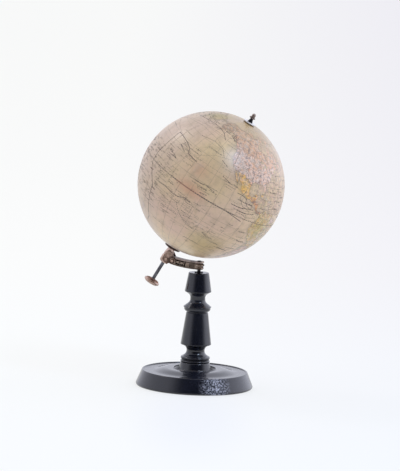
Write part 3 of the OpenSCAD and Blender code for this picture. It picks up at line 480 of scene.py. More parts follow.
LANDS = outlines("""
    north_america -168,65.6 -164,66.5 -161.5,66.3 -164,67.6 -166.6,68.3 -163,69.2 -161.5,70.3 -156.5,71.3 -150,70.5
    -143,70 -137,69 -134.5,69.5 -128,70.3 -124.5,69.6 -119,69.2 -115,68.2 -108,67.6 -107.5,68.6 -102,67.8 -97.5,67.8
    -95,69.5 -94.5,71.9 -92,70.2 -90,68.6 -87,68 -85.5,69.7 -81.5,69.4 -81.5,67.4 -86,66.3 -87.5,64.8 -91.5,63.8
    -94.3,61.5 -94.7,58.8 -92.5,57 -88,56.5 -82.3,55.2 -82,53 -80.5,51.4 -79,51.6 -78.8,54.6 -76.6,56.5 -78,60
    -77.5,62.4 -73.5,62.3 -69.8,61 -69.3,59 -65.5,58.8 -64.5,60.3 -61.5,57 -59,54.8 -55.8,53 -57,51.4 -60,50.2
    -66.3,50.2 -70,47.2 -68,48.6 -64.5,49.1 -65.5,47.8 -64.8,46.5 -61.2,45.5 -63.6,44.5 -66,43.6 -64.8,45.4 -67,45
    -70.4,43.3 -70.8,42.2 -70,41.7 -74,40.7 -74.2,39.4 -76,37 -75.6,35.3 -78,33.9 -81.2,31.6 -80.2,27 -80.5,25.2
    -81.8,26 -82.8,28.5 -84.5,30 -88,30.4 -89.3,29.2 -94,29.6 -97.2,27.8 -97.8,22.5 -96.2,19.3 -94.5,18.2 -91.8,18.6
    -90.5,20.9 -87,21.5 -87.6,19 -88.6,15.9 -86,15.9 -83.2,15 -83.8,11.2 -81.8,9 -79.6,9.5 -77.3,8.6 -78,7.6
    -79.8,8.8 -80.4,7.4 -82.8,8.3 -85,9.8 -85.8,11 -87.6,13 -91.5,14.2 -94.6,16.2 -96.5,15.7 -101.5,17.6 -105.5,19.8
    -105.4,21.8 -109,25.7 -111,27.9 -113,31.2 -114.7,31.8 -114.6,30.4 -112.8,28.2 -111.2,25.9 -109.6,23.1
    -112.1,24.8 -114.8,27.8 -115.9,30.3 -117.2,32.6 -120.5,34.5 -122,36.8 -123.8,39.4 -124.4,40.5 -124,46.2
    -124.7,48.3 -122.6,48.3 -125,50 -128,51.7 -130.3,54.6 -133.8,58 -139.7,59.6 -144.5,60.1 -148.5,60 -151.8,59.2
    -151,61 -154,59.2 -157.5,56.8 -161.5,55.2 -164.6,54.6 -160,56.2 -157.5,58.7 -162,58.7 -165.5,61.5 -164.5,63
    -161,63.6 -161,64.5 -166,64.6
    south_america -77.3,8.6 -75.6,10.7 -71.8,12.3 -71.4,11 -70,12 -68.2,10.6 -62,10.6 -59.8,8.3 -57,6 -51.7,4.2
    -50,1 -48.5,-1 -44.3,-2.7 -39.5,-3.1 -35.3,-5.3 -35,-8.5 -38.8,-13 -39.2,-17.8 -41,-22 -46.5,-24 -48.6,-28
    -52.2,-32.5 -54.5,-34.8 -58.3,-34 -57,-36.5 -57.8,-38.2 -62,-39 -65,-41 -64,-42.7 -67.4,-46 -65.9,-47.8 -69,-51
    -68.4,-52.6 -65.4,-54.7 -68,-55.5 -73,-53 -75.4,-50 -74.4,-46 -72.8,-42 -73.5,-37.2 -71.5,-31.5 -70.3,-23
    -70.3,-18.3 -76,-14 -78.5,-9 -81.2,-5.5 -80,-3 -80.9,-1.5 -78.8,1.4 -77.3,4 -78,7.4
    eurasia -9,37 -9.4,38.8 -8.8,43.2 -1.8,43.5 -1.3,46 -4.6,48.4 -1.5,48.8 3,51.2 5,53.3 8.5,53.8 8.2,57 10.6,57.6
    10.6,54.2 18.5,54.6 21,56.8 24,57.2 23.5,59.3 29.5,60 22.8,60 21.5,62.8 25,65 22,65.8 17.4,61.5 18.5,59.5
    16.4,56.5 12.8,55.6 11.2,59 8,58.1 5.2,60 10,63.8 14,67.6 20,70 26,71 40.5,67.7 38,66.3 34.5,66.6 37,64
    43.8,66.2 44,68.5 54,68.4 66.8,69.2 67.5,72 72.5,72.7 73,68.5 76,72 81,73.6 97,76.2 104.3,77.7 112,75.8 114,73.6
    127,73 130,71 140,72.5 152,71 161,69.6 171,70 180,68.9 187,67 190.2,66.1 186.5,64.5 180,65.5 177.5,64.7
    179.2,62.5 170.5,60 163.5,59.8 162,56.3 159.8,53 156.8,51.1 155.7,56 158.5,58.5 163.5,62.3 156,61.4 152,59.2
    142.5,59.2 137,55 135.3,54.7 141.2,53 140.3,48.5 136,44.5 131.5,43 127.5,39.8 129.3,36.5 126.4,34.5 125,39.6
    121.4,39 121,40.8 117.8,39 122.3,37.2 119.3,35 121.8,31.5 119.5,25.8 113.5,22 110,20.6 106.5,20 107.5,16.5
    109.3,13 105,8.8 102.5,12 100.6,13.4 99.3,9.5 103.3,4 103.6,1.4 100.4,5.8 98.4,8.5 97.8,16.4 94.4,16.2 91.5,22.3
    87,21.4 82.3,16.6 80.2,13.5 79,9.4 77.5,8.1 74.5,14 72.8,20.5 69,22.3 66.7,25 58,25.6 56.6,27 51,28.5 48.3,30.2
    51.4,24.8 56.3,26 59.8,22.5 55,17.2 45,12.8 42.8,14 39,21.3 34.8,29 32.5,30 34.3,31.4 36,36.6 30.5,36.5
    26.5,38.5 29,41.1 35,42 41.5,41.6 37,45.2 39,47.1 35,45.4 33.4,44.6 31,46.6 28.2,43.5 28.8,41.2 23.5,40.4
    22.8,36.6 19.5,41.5 13.6,45.6 12.4,44.2 18.3,40.2 16.2,38 15.7,40 10.3,43.8 4,43.4 -0.3,39 -2,36.8 -6,36.1
    africa 32.5,30 34.5,26 37.3,21 39,16 43.2,11.8 51.2,11.8 48,5 42,-1.5 39,-6.5 40.6,-14.5 35,-20.5 32.8,-26.5
    28,-32.8 20,-34.8 18.2,-32 14.6,-24 11.8,-17 13.6,-11 12,-5.5 9,-1 9.5,4 4.5,6.3 -7.7,4.4 -13.3,9 -17.2,14.7
    -16.4,20 -13,27.8 -9.7,31 -6,35.7 3,36.8 10.3,37.2 10.5,34 19.5,30.5 22,32.8 29,31
    australia 142.5,-10.8 145.4,-15 148.5,-20 153,-25.5 153.5,-29 150,-37.2 146.5,-38.9 140.5,-38 138,-34.5
    134.5,-33 131,-31.5 123.5,-34 118,-35 115,-34 113.6,-26 114.2,-22 121.5,-18.5 125,-14.6 129.5,-14.9 132.5,-11.4
    136.8,-12.2 135.8,-15 140.2,-17.6 141.6,-13
    greenland -73,78.2 -68,76 -58.5,75.4 -54.5,71.5 -51,69.5 -53.5,66.5 -49,61.5 -43.5,60 -40,65 -32,68 -22.5,70.3
    -19,75 -20,80 -32,83.4 -60,82
    baffin -61.5,66.8 -68,70.2 -78,73 -89.5,73.5 -86,70.5 -78,69.8 -72.5,67.2 -74,64.6 -65,62 -66,64.8
    victoria -117,72.8 -107,73.2 -102,69.6 -112,68.6 -116.5,70
    banks -124,74 -117,74.3 -120,71.3 -125,71.8
    ellesmere -90,77 -79,76.2 -74,79 -62,82.5 -75,83 -92,81.3
    melville -117,76.3 -106,76.6 -98,75.2 -110,74.8
    southampton -87,65.3 -80.2,63.8 -87,63.6
    newfoundland -59.3,47.7 -55.5,51.5 -53,47.3 -56,46.8
    cuba -84.9,21.9 -82,23.1 -77.5,21.8 -74.2,20.2 -77.6,19.8 -80,21.6
    hispaniola -74.4,18.4 -72.8,19.9 -68.5,18.5 -71.5,17.7
    vancouver -128.3,50.7 -125,50 -123.4,48.4 -125.5,48.8
    iceland -22.7,64 -24,65.6 -20,66 -14,65 -18.8,63.5
    britain -5.6,50.1 1.3,51.2 1.6,52.8 -2,55.8 -3,58.6 -5.5,57 -4.6,54 -4.8,52
    ireland -10,52 -6.3,52.2 -6,54.8 -9.8,54
    madagascar 49.3,-12 50.3,-15.8 47,-24.8 44,-24 44.3,-17
    ceylon 80,9.6 81.7,7 80.2,6
    sumatra 95.4,5.5 103,0.5 106,-3.5 105.5,-5.8 101,-2.5 98,2
    borneo 109,1.8 113,3.2 117,6.8 119,5 117.5,0.5 116,-3.8 110.2,-2.8
    java 105.3,-6.7 108,-6.4 114.4,-7.8 114.3,-8.6 108,-7.7
    celebes 119.5,-5.5 119.6,0 121,1.2 125,1.4 121,0.3 122.8,-4.8 120.8,-2.6
    new_guinea 131,-0.8 134.2,-0.9 138,-1.7 144.5,-3.9 147.8,-6.3 150.7,-10.4 146,-8.6 142.5,-9.2 138,-8 132.8,-3.9
    luzon 120.4,16 120.8,18.5 122.3,18.3 121.8,14.5 124,12.8 120.7,13.8
    mindanao 122,7 123.5,8.6 126.2,9.3 126.3,6.4 125.4,5.7
    taiwan 120.1,23 121.6,25.2 120.9,22
    honshu 131,34.2 133,35.5 136.2,35.9 139.4,38.2 140.2,40.9 141.8,40 141,37 140,35 137,34.7 135.3,33.6 134,34.7
    kyushu 130,33.4 131.8,33.4 130.9,31.2 130,32
    hokkaido 140,41.6 141.8,45.4 145.4,43.4 143.2,42
    sakhalin 142,46 141.9,51 142.6,54.2 144,49.2 143,47
    new_zealand_north 172.8,-34.5 175.8,-36.6 178.4,-37.7 176,-41 174.8,-41.3 174,-39
    new_zealand_south 172.6,-40.6 174.2,-41.6 171,-44.5 169,-46.6 166.5,-46 170.5,-43
    tasmania 144.8,-40.8 148.3,-41 146.8,-43.6
    novaya_zemlya 52,71 56,74 68,77 60,75.2 57,71
    spitsbergen 11,79.5 20,80.2 21,78.5 16,76.7
    antarctica -180,-84 -160,-78.5 -148,-76.5 -125,-73.8 -100,-72.5 -78,-73 -68,-68 -58,-63.5 -61,-72 -45,-78
    -25,-75 -10,-71 20,-69.8 50,-67 80,-67.5 110,-66.2 140,-66.8 165,-71 167,-78 180,-84 180,-90 -180,-90""")
LAKES = lines("""
    -92,46.8 -88.5,48.8 -84.8,46.8 -87.5,46.5 ; -87.8,42 -87.5,45 -85.2,45.2 -86.5,41.8 ; -84.2,45.8 -80,45
    -82.2,43.1 -83.5,44 ; -83.2,41.6 -79,42.9 -81.5,41.6 ; -125,66.2 -119,67 -120,65 ; -116,61.2 -109.5,62.7
    -113.5,60.9 ; -98.5,50.6 -97.5,53.8 -99.3,53 ; 49,45 51,47 54,45 53.5,38 49.5,38 50,41""")

# Borders, each drawn as a line. The named ones are also edges of the tinted regions.
BORDERS = outlines("""
    north -123,49 -95,49 -89.5,48 -84.5,46.6 -82.5,43 -79,43.2 -75,45 -71.2,45 -69.2,47.4 -67.3,45.2
    south -117.2,32.5 -114.8,32.5 -111,31.4 -108.2,31.6 -106.5,31.8 -104,29.4 -102.2,29.8 -99.5,27.5 -97.2,25.9
    alaska -141,69.8 -141,60.4 -137.5,59 -134,58.8 -130,55.3
    guatemala -92.3,14.6 -91.6,16 -91,17.8 -89.2,17.8 -88.5,18.4
    colombia_east -71.4,11.8 -72.6,9 -70,7 -67.6,6.1 -67.2,2.2
    colombia_south -67.2,2.2 -69.5,0 -70,-4 -75.2,-0.2 -78.8,1.4
    peru_east -70,-4 -73,-7.5 -70.5,-9.6 -69.5,-12 -69,-16.5 -70.3,-18.3
    guiana -67.2,2.2 -64,2.2 -62.5,4.2 -60,5 -58,1.6 -54,2.2 -51.7,4
    bolivia -69.5,-12 -65.3,-10.5 -60.3,-15 -58,-19.5 -62.6,-22.2 -67.5,-22.8 -69,-16.5
    argentina_east -62.6,-22.2 -57.8,-25.5 -54,-26 -57.6,-30.2 -58.2,-34
    andes -67.5,-22.8 -69.8,-30 -70.5,-36 -71.8,-44 -73,-50 -69,-52.3""")
(north, south, alaska, guatemala, colombia_east, colombia_south, peru_east, guiana, bolivia, argentina_east,
 andes) = (line for _, line in BORDERS)
panama = rows("-77.3,8.6 -77.9,7.3")
INNER_BORDERS = lines("""
    -83.8,15 -86,13.8 -87.6,13 ; -83.6,11 -85.6,11.2 ; -82.6,9.6 -83,8.3 ; -75.2,-0.2 -78.5,-4.8 -80.3,-3.4 ;
    -102,49 -102,60 ; -110,49 -110,60 ; -120,54 -120,60 ; -120,54 -114.5,49 ; -135,60 -95,60 ; -95,53 -95,60 ;
    -95,53 -88.5,56.8 ; -79.5,47 -79.5,51.5 ; -124,42 -111,42 ; -120,42 -120,39 -114.6,35 -114.6,32.6 ; -117,49
    -117,42 ; -114,42 -114,36 ; -109,41 -109,31.4 ; -111,45 -111,41 -102,41 ; -104,49 -104,41 ; -116,49 -111,45
    -104,45 ; -114,37 -94.6,37 ; -103,37 -103,32 -106.5,32 ; -100,36.5 -100,34.5 -94.2,33.6 -94,29.8 ; -96.5,46
    -96.5,43 -95.8,40 -91.5,40.5 ; -104,43 -91,43.5 ; -97,49 -96.6,46 ; -91.2,43.5 -91,37 -89.8,35 -91.3,31 ; -88,42
    -87.6,38 -88,35 -88.3,30.6 ; -84.8,41.7 -84.8,39 -82,37.4 -75.8,36.6 ; -90,35 -83,35 -81.2,32 ; -80.5,42
    -80.5,39.7 -75.6,39.8 ; -85.3,35 -85,31 ; -106.5,26 -103,22.5 -105,20.5 ; -100,25.5 -100.5,20 -98,17.5 ;
    -108.5,31 -108.4,26.5 ; 28,60.6 27.5,56 23.5,53.8 23.7,50.4 27,48.2 29,45.4 ; 14.3,53.8 14.8,50.8 12.2,50.2 ;
    6.5,53.2 6,50.8 8,49 7.6,47.5 6.8,44 ; 7,47.5 13,47.5 13.6,45.7 ; -1.7,43.3 3,42.4 ; 23.7,50.4 18.5,49.5
    14.8,50.8 ; 13,47.5 20,46 22.5,44.2 28,43.7 ; 24,66 28,70 ; 12,61 14,66 20,69 ; 87.5,49 98,52 116,49.8 120,53
    127,50 131,47.5 131,43 ; 53,37 61,36.5 71,37 75,37.5 80,42 87.5,49 ; 61.5,25.2 61,36.5 ; 66.5,25 71,31 75,37 ;
    75,35 79,30.5 88,27.5 97,28.5 99,22 106,22.8 108,21.6 ; 97.5,28 98.5,18 98.6,11 ; 36,36.7 42.3,37.2 45,39.6
    48.5,38.5 ; 44.5,37 48,30.4 ; 35,29.5 39,32 46.5,29.2 ; 25,31.5 25,22 37,22 ; 9,33 11,24 3,19.5 -5,25 -8.7,27.5
    ; 24,19.5 22.8,10.8 30.5,4.5 ; 41.8,-1.6 34,4.2 30.5,4.5 29.5,-4.5 30.8,-8.3 40.4,-11 ; 12.4,-6 17,-8 22,-11
    25,-17.8 ; 30.8,-8.3 28.5,-12.3 33,-13 35.5,-16.8 32,-22 ; 20,-22 20,-28.5 16.6,-28.6 ; 25,-17.8 20,-18 ;
    9.8,2.2 16,2 18.6,4.4 15.5,10 13.5,13.7 4,13.4 2.7,6.4 ; 129,-15 129,-31.7 ; 138,-16.6 138,-26 141,-26 141,-38 ;
    129,-26 138,-26 ; 141,-29 149,-29 153.4,-28.2 ; 141,-34 147,-36 150,-37.4 ; 141,-2.7 141,-9.2""")
RIVERS = lines("""
    -164,62.8 -158,64.8 -146,66.4 -139,63.5 -135,60.5 ; -135,69 -130,66 -123.5,62 -116,61.2 ; -111,58.7 -114,55
    -117.5,52.5 ; -95.5,58 -97,54 -99,53 ; -97,51 -104,53 -114,51 ; -89.5,29.3 -91.2,33 -89.5,37 -91,42 -95,47 ;
    -90,38.8 -95.5,40 -98,43 -104,47.8 -111,47.5 ; -89.3,37 -84.5,39 -80,40.5 ; -91.2,33.8 -98,37.5 -106,38.8 ;
    -124,46.2 -119,46 -118.5,50 -115.5,50.5 ; -119,46 -115,43 -111.5,43.5 ; -114.8,32 -112,36.2 -108.5,39.8 ;
    -97.2,26 -104.5,29.8 -106.6,34 -107,37.5 ; -123,49.2 -121.5,52.5 -122.5,54 ; -70,47 -74,45.3 -76.5,44.2 ;
    -50.5,0 -56,-2.2 -60,-3.2 -67,-3 -73.5,-4.4 ; -60,-3.2 -63.5,-8.5 -65.5,-11 ; -58.5,-34 -60.6,-31 -58.5,-27.2
    -54.5,-24 -51,-20 ; -61,8.8 -67,7.5 -67.5,3.5 ; -74.8,11 -74,7.5 -75.5,3 ; -62,-39 -68,-38 ; 31,31 31.5,26
    30.5,19.5 33,15.6 32,9.5 31.5,3 ; 12.4,-6 17.5,-1 22,2 26.5,-5 ; 6,4.5 6.8,7.8 0,16.5 -4.5,14.5 -10,11 ;
    36,-18.8 30,-15.8 25.5,-17.8 23,-12 ; 48,46 45.5,50 49,54.5 44,56.2 34,57 ; 72,66.5 65.5,64 69,61 76.5,59 84,54
    ; 82.5,71 86.5,67 87,61 92,56 94,52 ; 126.5,72.5 124,66 130,62 118,59.5 107,54 ; 141,53 135,48.5 130,49 121,53.2
    ; 121.8,31.6 114,30.2 105,29 98,32 ; 118.8,37.8 112,35 108,40.5 101,36.5 ; 90.5,23 88,25.3 80,26.5 78,30 ;
    67.5,24.2 71,30 74.5,35.5 ; 29,45.2 25,44 19,47.5 10,48.3 ; 138.8,-35.4 142,-34 147,-36 ; 142,-34 146,-30
    151.5,-27""")

# Tints of the countries, each laid over the land inside its region in this order
TINTS = [
    ("cbb89a", rows("-180,90 180,90 180,-90 -180,-90")),
    ("e2aa86", rows("-141,75 -50,75 -50,40 -135,40")),
    ("9c7456", rows("-180,75") + alaska + rows("-150,50 -180,50")),
    ("ecc8b0", rows("-130,49") + north + rows("-60,44 -75,24") + south[::-1] + rows("-130,31")),
    ("f6bd48", rows("-120,31") + south + rows("-80,24 -84,19") + guatemala[::-1] + rows("-110,12")),
    ("d08f4a", rows("-93,13.5") + guatemala[1:] + rows("-80,18") + panama + rows("-80,5")),
    ("e0bc48", panama[::-1] + rows("-76,14") + colombia_east + colombia_south[1:] + rows("-82,4")),
    ("cdb064", rows("-71.4,14") + colombia_east + guiana[1:4] + rows("-58,10")),
    ("c3a0a0", guiana[3:] + rows("-50,6 -58,10")),
    ("c2b462", guiana + rows("-45,8 -28,-5 -40,-35 -53,-36") + argentina_east[::-1] + bolivia[4::-1]
     + rows("-70.5,-9.6 -73,-7.5 -70,-4 -69.5,0")),
    ("e2c25a", rows("-84,2") + colombia_south[::-1][:3] + peru_east + rows("-84,-20")),
    ("cdb45f", bolivia),
    ("cfae9f", rows("-67.5,-22.8 -62.6,-22.2") + argentina_east[1:] + rows("-50,-58 -69,-58") + andes[::-1]),
    ("b7b07a", rows("-78,-18 -69,-16.5 -67.5,-22.8") + andes + rows("-69,-58 -80,-58"))]
TINTS += outlines("""
    d8c7a4 -75,85 -10,85 -10,68 -42,58 -56,60 -72,76
    a08a1c 27,72 190,80 192,60 150,45 131,43 127,50 98,51 87,49 53,42 40,43 29,45.4 23.5,53.8 28,60.6
    a08a1c -180,74 -168.8,68 -168.8,62 -180,58
    d3b46a 75,37 87,49 98,52 116,50 127,50 131,43 124,20 108,21 98,28 79,30.5
    d59d86 60,25 71,36 79,30.5 97,28 98,12 85,4 70,8
    b2b58c 97.5,28 108,21 112,10 104,0 98,6
    d7a56a 128,30 140,46 147,45 142,33
    c7b37c 44,38 61,38 61.5,25 48,29
    b9a98f 26,42 44,42 46,30 34,28 25,36
    cda489 -5,51 8,50 8,43.5 3,42.4 -2,43.3
    d8bd77 -10,44 3.3,42.5 -1,36 -10,36
    b9b189 6,54.5 18,55 23,53.8 18.5,49.5 13,47.5 7,47.5
    d6b7a9 4,58 12,60 28,72 30,70 22,63 18,55 10,56
    cfa273 7,44 7,46.5 13.6,46 19,40 12,36
    d3a08c -11,60 3,60 3,50.5 -11,49
    c7a7a6 13,47.5 18.5,49.5 27,48.2 22.5,44.2 16,43
    bcb27c 19,42 29,44 30,36 19,36
    b7ae7d -20,37 11,38 11,24 3,19.5 -18,15
    d9b98f 11,34 25,34 25,20 11,24
    d59f7a 25,32 38,31 38,20 30,4.5 24,8
    cfb3a4 -19,15 3,19.5 16,20 15,6 -10,3
    bdb48b 15,10 24,19 24,8 30,4.5 29,-8 12,-6 8,2
    d6b069 33,15 52,14 52,6 40,-2 34,4
    c99d8d 30,4 34,4 42,-2 41,-11 31,-8
    c9b277 10,-6 29,-8 28.5,-13 25,-18 10,-18
    b8ab87 28,-12 41,-11 41,-26 33,-27 32,-22
    d59a83 20,-18 32,-17 33,-28 28,-36 15,-36
    c8ab93 10,-17 20,-18 20,-28 12,-28
    c2ac75 43,-11 52,-11 52,-27 43,-27
    d3a48e 112,-9 180,-30 180,-50 112,-40
    c4b07d 94,7 141,1 141,-12 105,-12
    c29f94 141,-1 156,-6 156,-11 141,-10.5
    d8d2c2 -180,-62 180,-62 180,-90 -180,-90""")


# Fields of the map on a grid of half degrees

GRID = 0.5
LATS = np.arange(-90, 90 + GRID / 2, GRID)
LONS = np.arange(-180, 180 + GRID / 2, GRID)
FAR_MM = 4.5


def roughened(outline, seed, closed=True, wiggle=0.13, shortest=1.1):
    """The outline with small bays and capes between its points, made by halving its sides again and again."""
    rng = random.Random(seed)
    points = list(outline) + ([outline[0]] if closed else [])
    out = [points[0]]

    def halve(a, b):
        if math.dist(a, b) < shortest:
            out.append(b)
            return
        shift = rng.uniform(-wiggle, wiggle)
        middle = ((a[0] + b[0]) / 2 - shift * (b[1] - a[1]), (a[1] + b[1]) / 2 + shift * (b[0] - a[0]))
        halve(a, middle)
        halve(middle, b)

    for a, b in zip(points, points[1:]):
        halve(a, b)
    return out


def fill(field, outline, value):
    """Sets the field inside a closed outline, row by row."""
    a, b = np.array(outline[:-1], float), np.array(outline[1:], float)
    for row, lat in enumerate(LATS):
        crossed = (a[:, 1] <= lat) != (b[:, 1] <= lat)
        share = (lat - a[crossed, 1]) / (b[crossed, 1] - a[crossed, 1])
        places = np.sort(a[crossed, 0] + share * (b[crossed, 0] - a[crossed, 0]))
        for left, right in zip(places[::2], places[1::2]):
            for turn in (-360, 0, 360):
                field[row, (LONS >= left + turn) & (LONS <= right + turn)] = value


def distances(paths):
    """Millimetres on the ball from each point of the grid to the nearest path, up to FAR_MM."""
    field = np.full((len(LATS), len(LONS)), FAR_MM)
    margin = FAR_MM / DEGREE_MM
    for path in paths:
        for a, b in zip(path, path[1:]):
            low, high = min(a[1], b[1]) - margin, max(a[1], b[1]) + margin
            belt = np.nonzero((LATS >= low) & (LATS <= high))[0]
            wide = min(180, margin / max(0.02, math.cos(math.radians(min(89, max(abs(low), abs(high)))))))
            for turn in (-360, 0, 360):
                ax, bx = a[0] + turn, b[0] + turn
                columns = np.nonzero((LONS >= min(ax, bx) - wide) & (LONS <= max(ax, bx) + wide))[0]
                if not len(belt) or not len(columns):
                    continue
                lat, lon = LATS[belt][:, None], LONS[columns][None, :]
                shrink = np.cos(np.radians(lat))
                px, py = (lon - ax) * shrink, lat - a[1]
                sx, sy = (bx - ax) * shrink, b[1] - a[1]
                along = np.clip((px * sx + py * sy) / (sx * sx + sy * sy + 1e-9), 0, 1)
                near = np.hypot(px - along * sx, py - along * sy) * DEGREE_MM
                window = np.ix_(belt, columns)
                field[window] = np.minimum(field[window], near)
    return field


coasts = [roughened(land, seed) for seed, (_, land) in enumerate(LANDS)]
shores = [roughened(lake, 900 + seed) for seed, lake in enumerate(LAKES)]
drawn_borders = [roughened(line, 500 + seed, closed=False, wiggle=0.05)
                 for seed, line in enumerate([line for _, line in BORDERS] + INNER_BORDERS)]
drawn_rivers = [roughened(line, 700 + seed, closed=False, wiggle=0.2, shortest=0.8)
                for seed, line in enumerate(RIVERS)]

is_land = np.zeros((len(LATS), len(LONS)), bool)
for coast in coasts:
    fill(is_land, coast, True)
for shore in shores:
    fill(is_land, shore, False)
shore_mm = distances(coasts + shores) * np.where(is_land, 1, -1)
edge_mm = np.minimum(np.abs(shore_mm), distances(drawn_borders))
tints = np.zeros((len(LATS), len(LONS), 3))
for code, region in TINTS:
    fill(tints, region + region[:1], hex_rgb(code))


def on_ball(lon, lat, radius):
    """Point of the ball's surface in the axle's frame, in millimetres."""
    turn, rise = math.radians(PRIME_TURN + lon), math.radians(lat)
    return Vector((math.cos(rise) * math.cos(turn), math.cos(rise) * math.sin(turn), math.sin(rise))) * radius


WAVE_MM = 0.62
NET_STEP = 10


def printed_map():
    """The varnished print: tinted land, sea with water lines, a net of meridians and parallels, age and dirt."""
    n = Nodes("printed_map")
    place = n.place()

    def field(name, output="Fac"):
        """One of the fields that each sheet of the map carries on its points."""
        return n.made("ShaderNodeAttribute", {}, output, attribute_name=name)

    lon, lat, _ = n.split(field("place", "Vector"))
    shore, edge = field("shore"), field("edge")
    cloud = n.noise(place, 17, detail=5, rough=0.6)
    stain = n.noise(place, 60, detail=5, rough=0.65, distortion=0.5)
    flecks = [n.noise(n.stretched(place, move=(k, 2 * k, 0)), scale, detail=3, rough=0.7)
              for k, scale in enumerate((250, 320, 230))]
    print_grain = n.noise(place, 1500, detail=3, rough=0.8)
    fibre = n.noise(place, 5200, detail=2)

    def zone(centre_lon, centre_lat, half_lon, half_lat, strength):
        """1 at a place of the map, 0 outside an ellipse of degrees round it."""
        far = n.length((lon - centre_lon) / half_lon, (lat - centre_lat) / half_lat)
        return n.range(far, 0.1, 1.0, strength, 0.0, smooth=True) * n.range(cloud, 0.3, 0.6, 0.6, 1.0)

    sea = n.mix(n.range(cloud, 0.36, 0.62), "d9be8b", "d8b795")
    for where, code in (((-150, -33, 44, 26, 0.6), "d0ac98"), ((-105, -34, 30, 17, 0.6), "bfa96b"),
                        ((-138, 36, 32, 18, 0.5), "ceb678"), ((-140, 0, 20, 9, 0.55), "d4946e"),
                        ((-142, 17, 12, 8, 0.4), "d49e7c")):
        sea = n.mix(zone(*where), sea, code)
    sea = n.mix(n.range(flecks[0], 0.5, 0.72, 0.0, 0.3), sea, "a08d74")
    # Round the Atlantic the sea is as crowded with print and colour as the land beside it
    east = n.range(lon, -99, -86) * n.range(lon, -15, 0, 1.0, 0.0) * n.range(lat, 6, 14)
    for grain, low, high, least, most, code in (
            (flecks[1], 0.46, 0.58, 0.0, 0.65, "85766f"), (flecks[0], 0.46, 0.58, 0.1, 0.55, "cfa48c"),
            (flecks[2], 0.50, 0.60, 0.0, 0.5, "c9b07c")):
        sea = n.mix(east * n.range(grain, low, high, least, most), sea, code)
    land = n.mix(n.range(edge, 0.0, 2.4, 1.0, 0.6), "cbb99c", field("tint", "Color"))
    for grain, low, high, most, code in (
            (flecks[0], 0.47, 0.56, 0.6, "eaa876"), (flecks[1], 0.50, 0.59, 0.74, "85716a"),
            (flecks[2], 0.50, 0.60, 0.42, "ecd6c0"), (print_grain, 0.50, 0.68, 0.4, "5f5048")):
        land = n.mix(n.range(grain, low, high, 0.0, most), land, code)
    colour = n.mix(n.range(shore, -0.25, 0.25), sea, land)

    # Ink: the coast, the water lines beside it and the net of ten degrees
    open_sea = 1.0 - east * 0.75
    coast_ink = n.range(abs(shore), 0.08, 0.24, 0.7, 0.0) * open_sea
    depth = shore * -1.0
    wave = abs(n.math("FRACT", depth / WAVE_MM) - 0.5)
    water_ink = n.range(wave, 0.10, 0.24, 1.0, 0.0) * n.range(depth, 0.2, 3.2, 0.8, 0.0)
    water_ink = water_ink * open_sea * n.range(shore, -0.12, -0.05, 1.0, 0.0)
    shrink = n.math("COSINE", n.math("RADIANS", lat))

    def net(value, scale):
        """Ink of the lines at every tenth degree of a value, with the millimetres of a degree scaled for its height."""
        turn = abs(n.math("FRACT", value / NET_STEP + 0.5) - 0.5)
        return n.range(turn * (NET_STEP * DEGREE_MM) * scale, 0.08, 0.2, 1.0, 0.0)

    net_ink = n.largest(net(lon, shrink), net(lat, 1.0)) * 0.55
    ink = n.largest(coast_ink, water_ink, net_ink) * n.range(print_grain, 0.25, 0.5, 0.7, 1.0)
    colour = n.mix(ink, colour, "4d453d")

    # The map is browner and darker towards the north. Painted shade: the far west, which lies on the left limb in the
    # view, is darker and greyer with a rosy tone
    colour = n.mix(n.range(lat, 44, 76, 0.0, 0.6), colour, "9c8148")
    west = n.math("COSINE", n.math("RADIANS", lon - 168))
    colour = n.mix(n.range(west, 0.78, 1.0, 0.0, 0.42, smooth=True), colour, "b09c8c")
    # Tints over land and sea alike: olive in the far north-west and yellow in Mexico and the tropics. Off California a
    # pale patch is a painted highlight, the window's glare on the varnish
    for where, code in (((163, 66, 27, 16, 0.75), "a08c30"), ((-122, 39, 18, 19, 0.34), "dac8bc"),
                        ((-71, -2, 13, 14, 0.55), "c4a63c"), ((-103, 22, 9, 9, 0.4), "f6c466")):
        colour = n.mix(zone(*where), colour, code)

    # Age: brown clouds in the varnish, foxing spots and rubbed pale places
    colour = n.mix(n.range(stain, 0.50, 0.78, 0.0, 0.5), colour, "9a8561")
    colour = n.mix(n.range(n.noise(place, 38, detail=6, rough=0.7), 0.58, 0.8, 0.0, 0.35), colour, "d9c9b6")
    foxing = n.noise(n.stretched(place, move=(3, 1, 2)), 430, detail=2)
    colour = n.mix(n.range(foxing, 0.72, 0.80, 0.0, 0.45), colour, "7d5f3f")
    rough = n.range(stain, 0.3, 0.75, 0.40, 0.56)
    normal = n.bump(fibre, 0.00003, 0.5)
    normal = n.bump(stain, 0.0005, 0.25, under=normal)
    return n.finish(colour, rough, Normal=normal, Coat_Weight=0.8, Coat_Roughness=0.34, Coat_IOR=1.5)


map_paper = printed_map()

# How far the cut edges go down to the shell, how far a seam is sunk, and the fields that the sheets carry: their
# names, kinds and units, and their first and last columns among the values of a point
SKIRT_MM = 0.25
SEAM_MM = 0.05
FIELDS = (("place", "FLOAT_VECTOR", "vector", 0, 3), ("shore", "FLOAT", "value", 3, 4),
          ("edge", "FLOAT", "value", 4, 5), ("tint", "FLOAT_COLOR", "color", 5, 9))


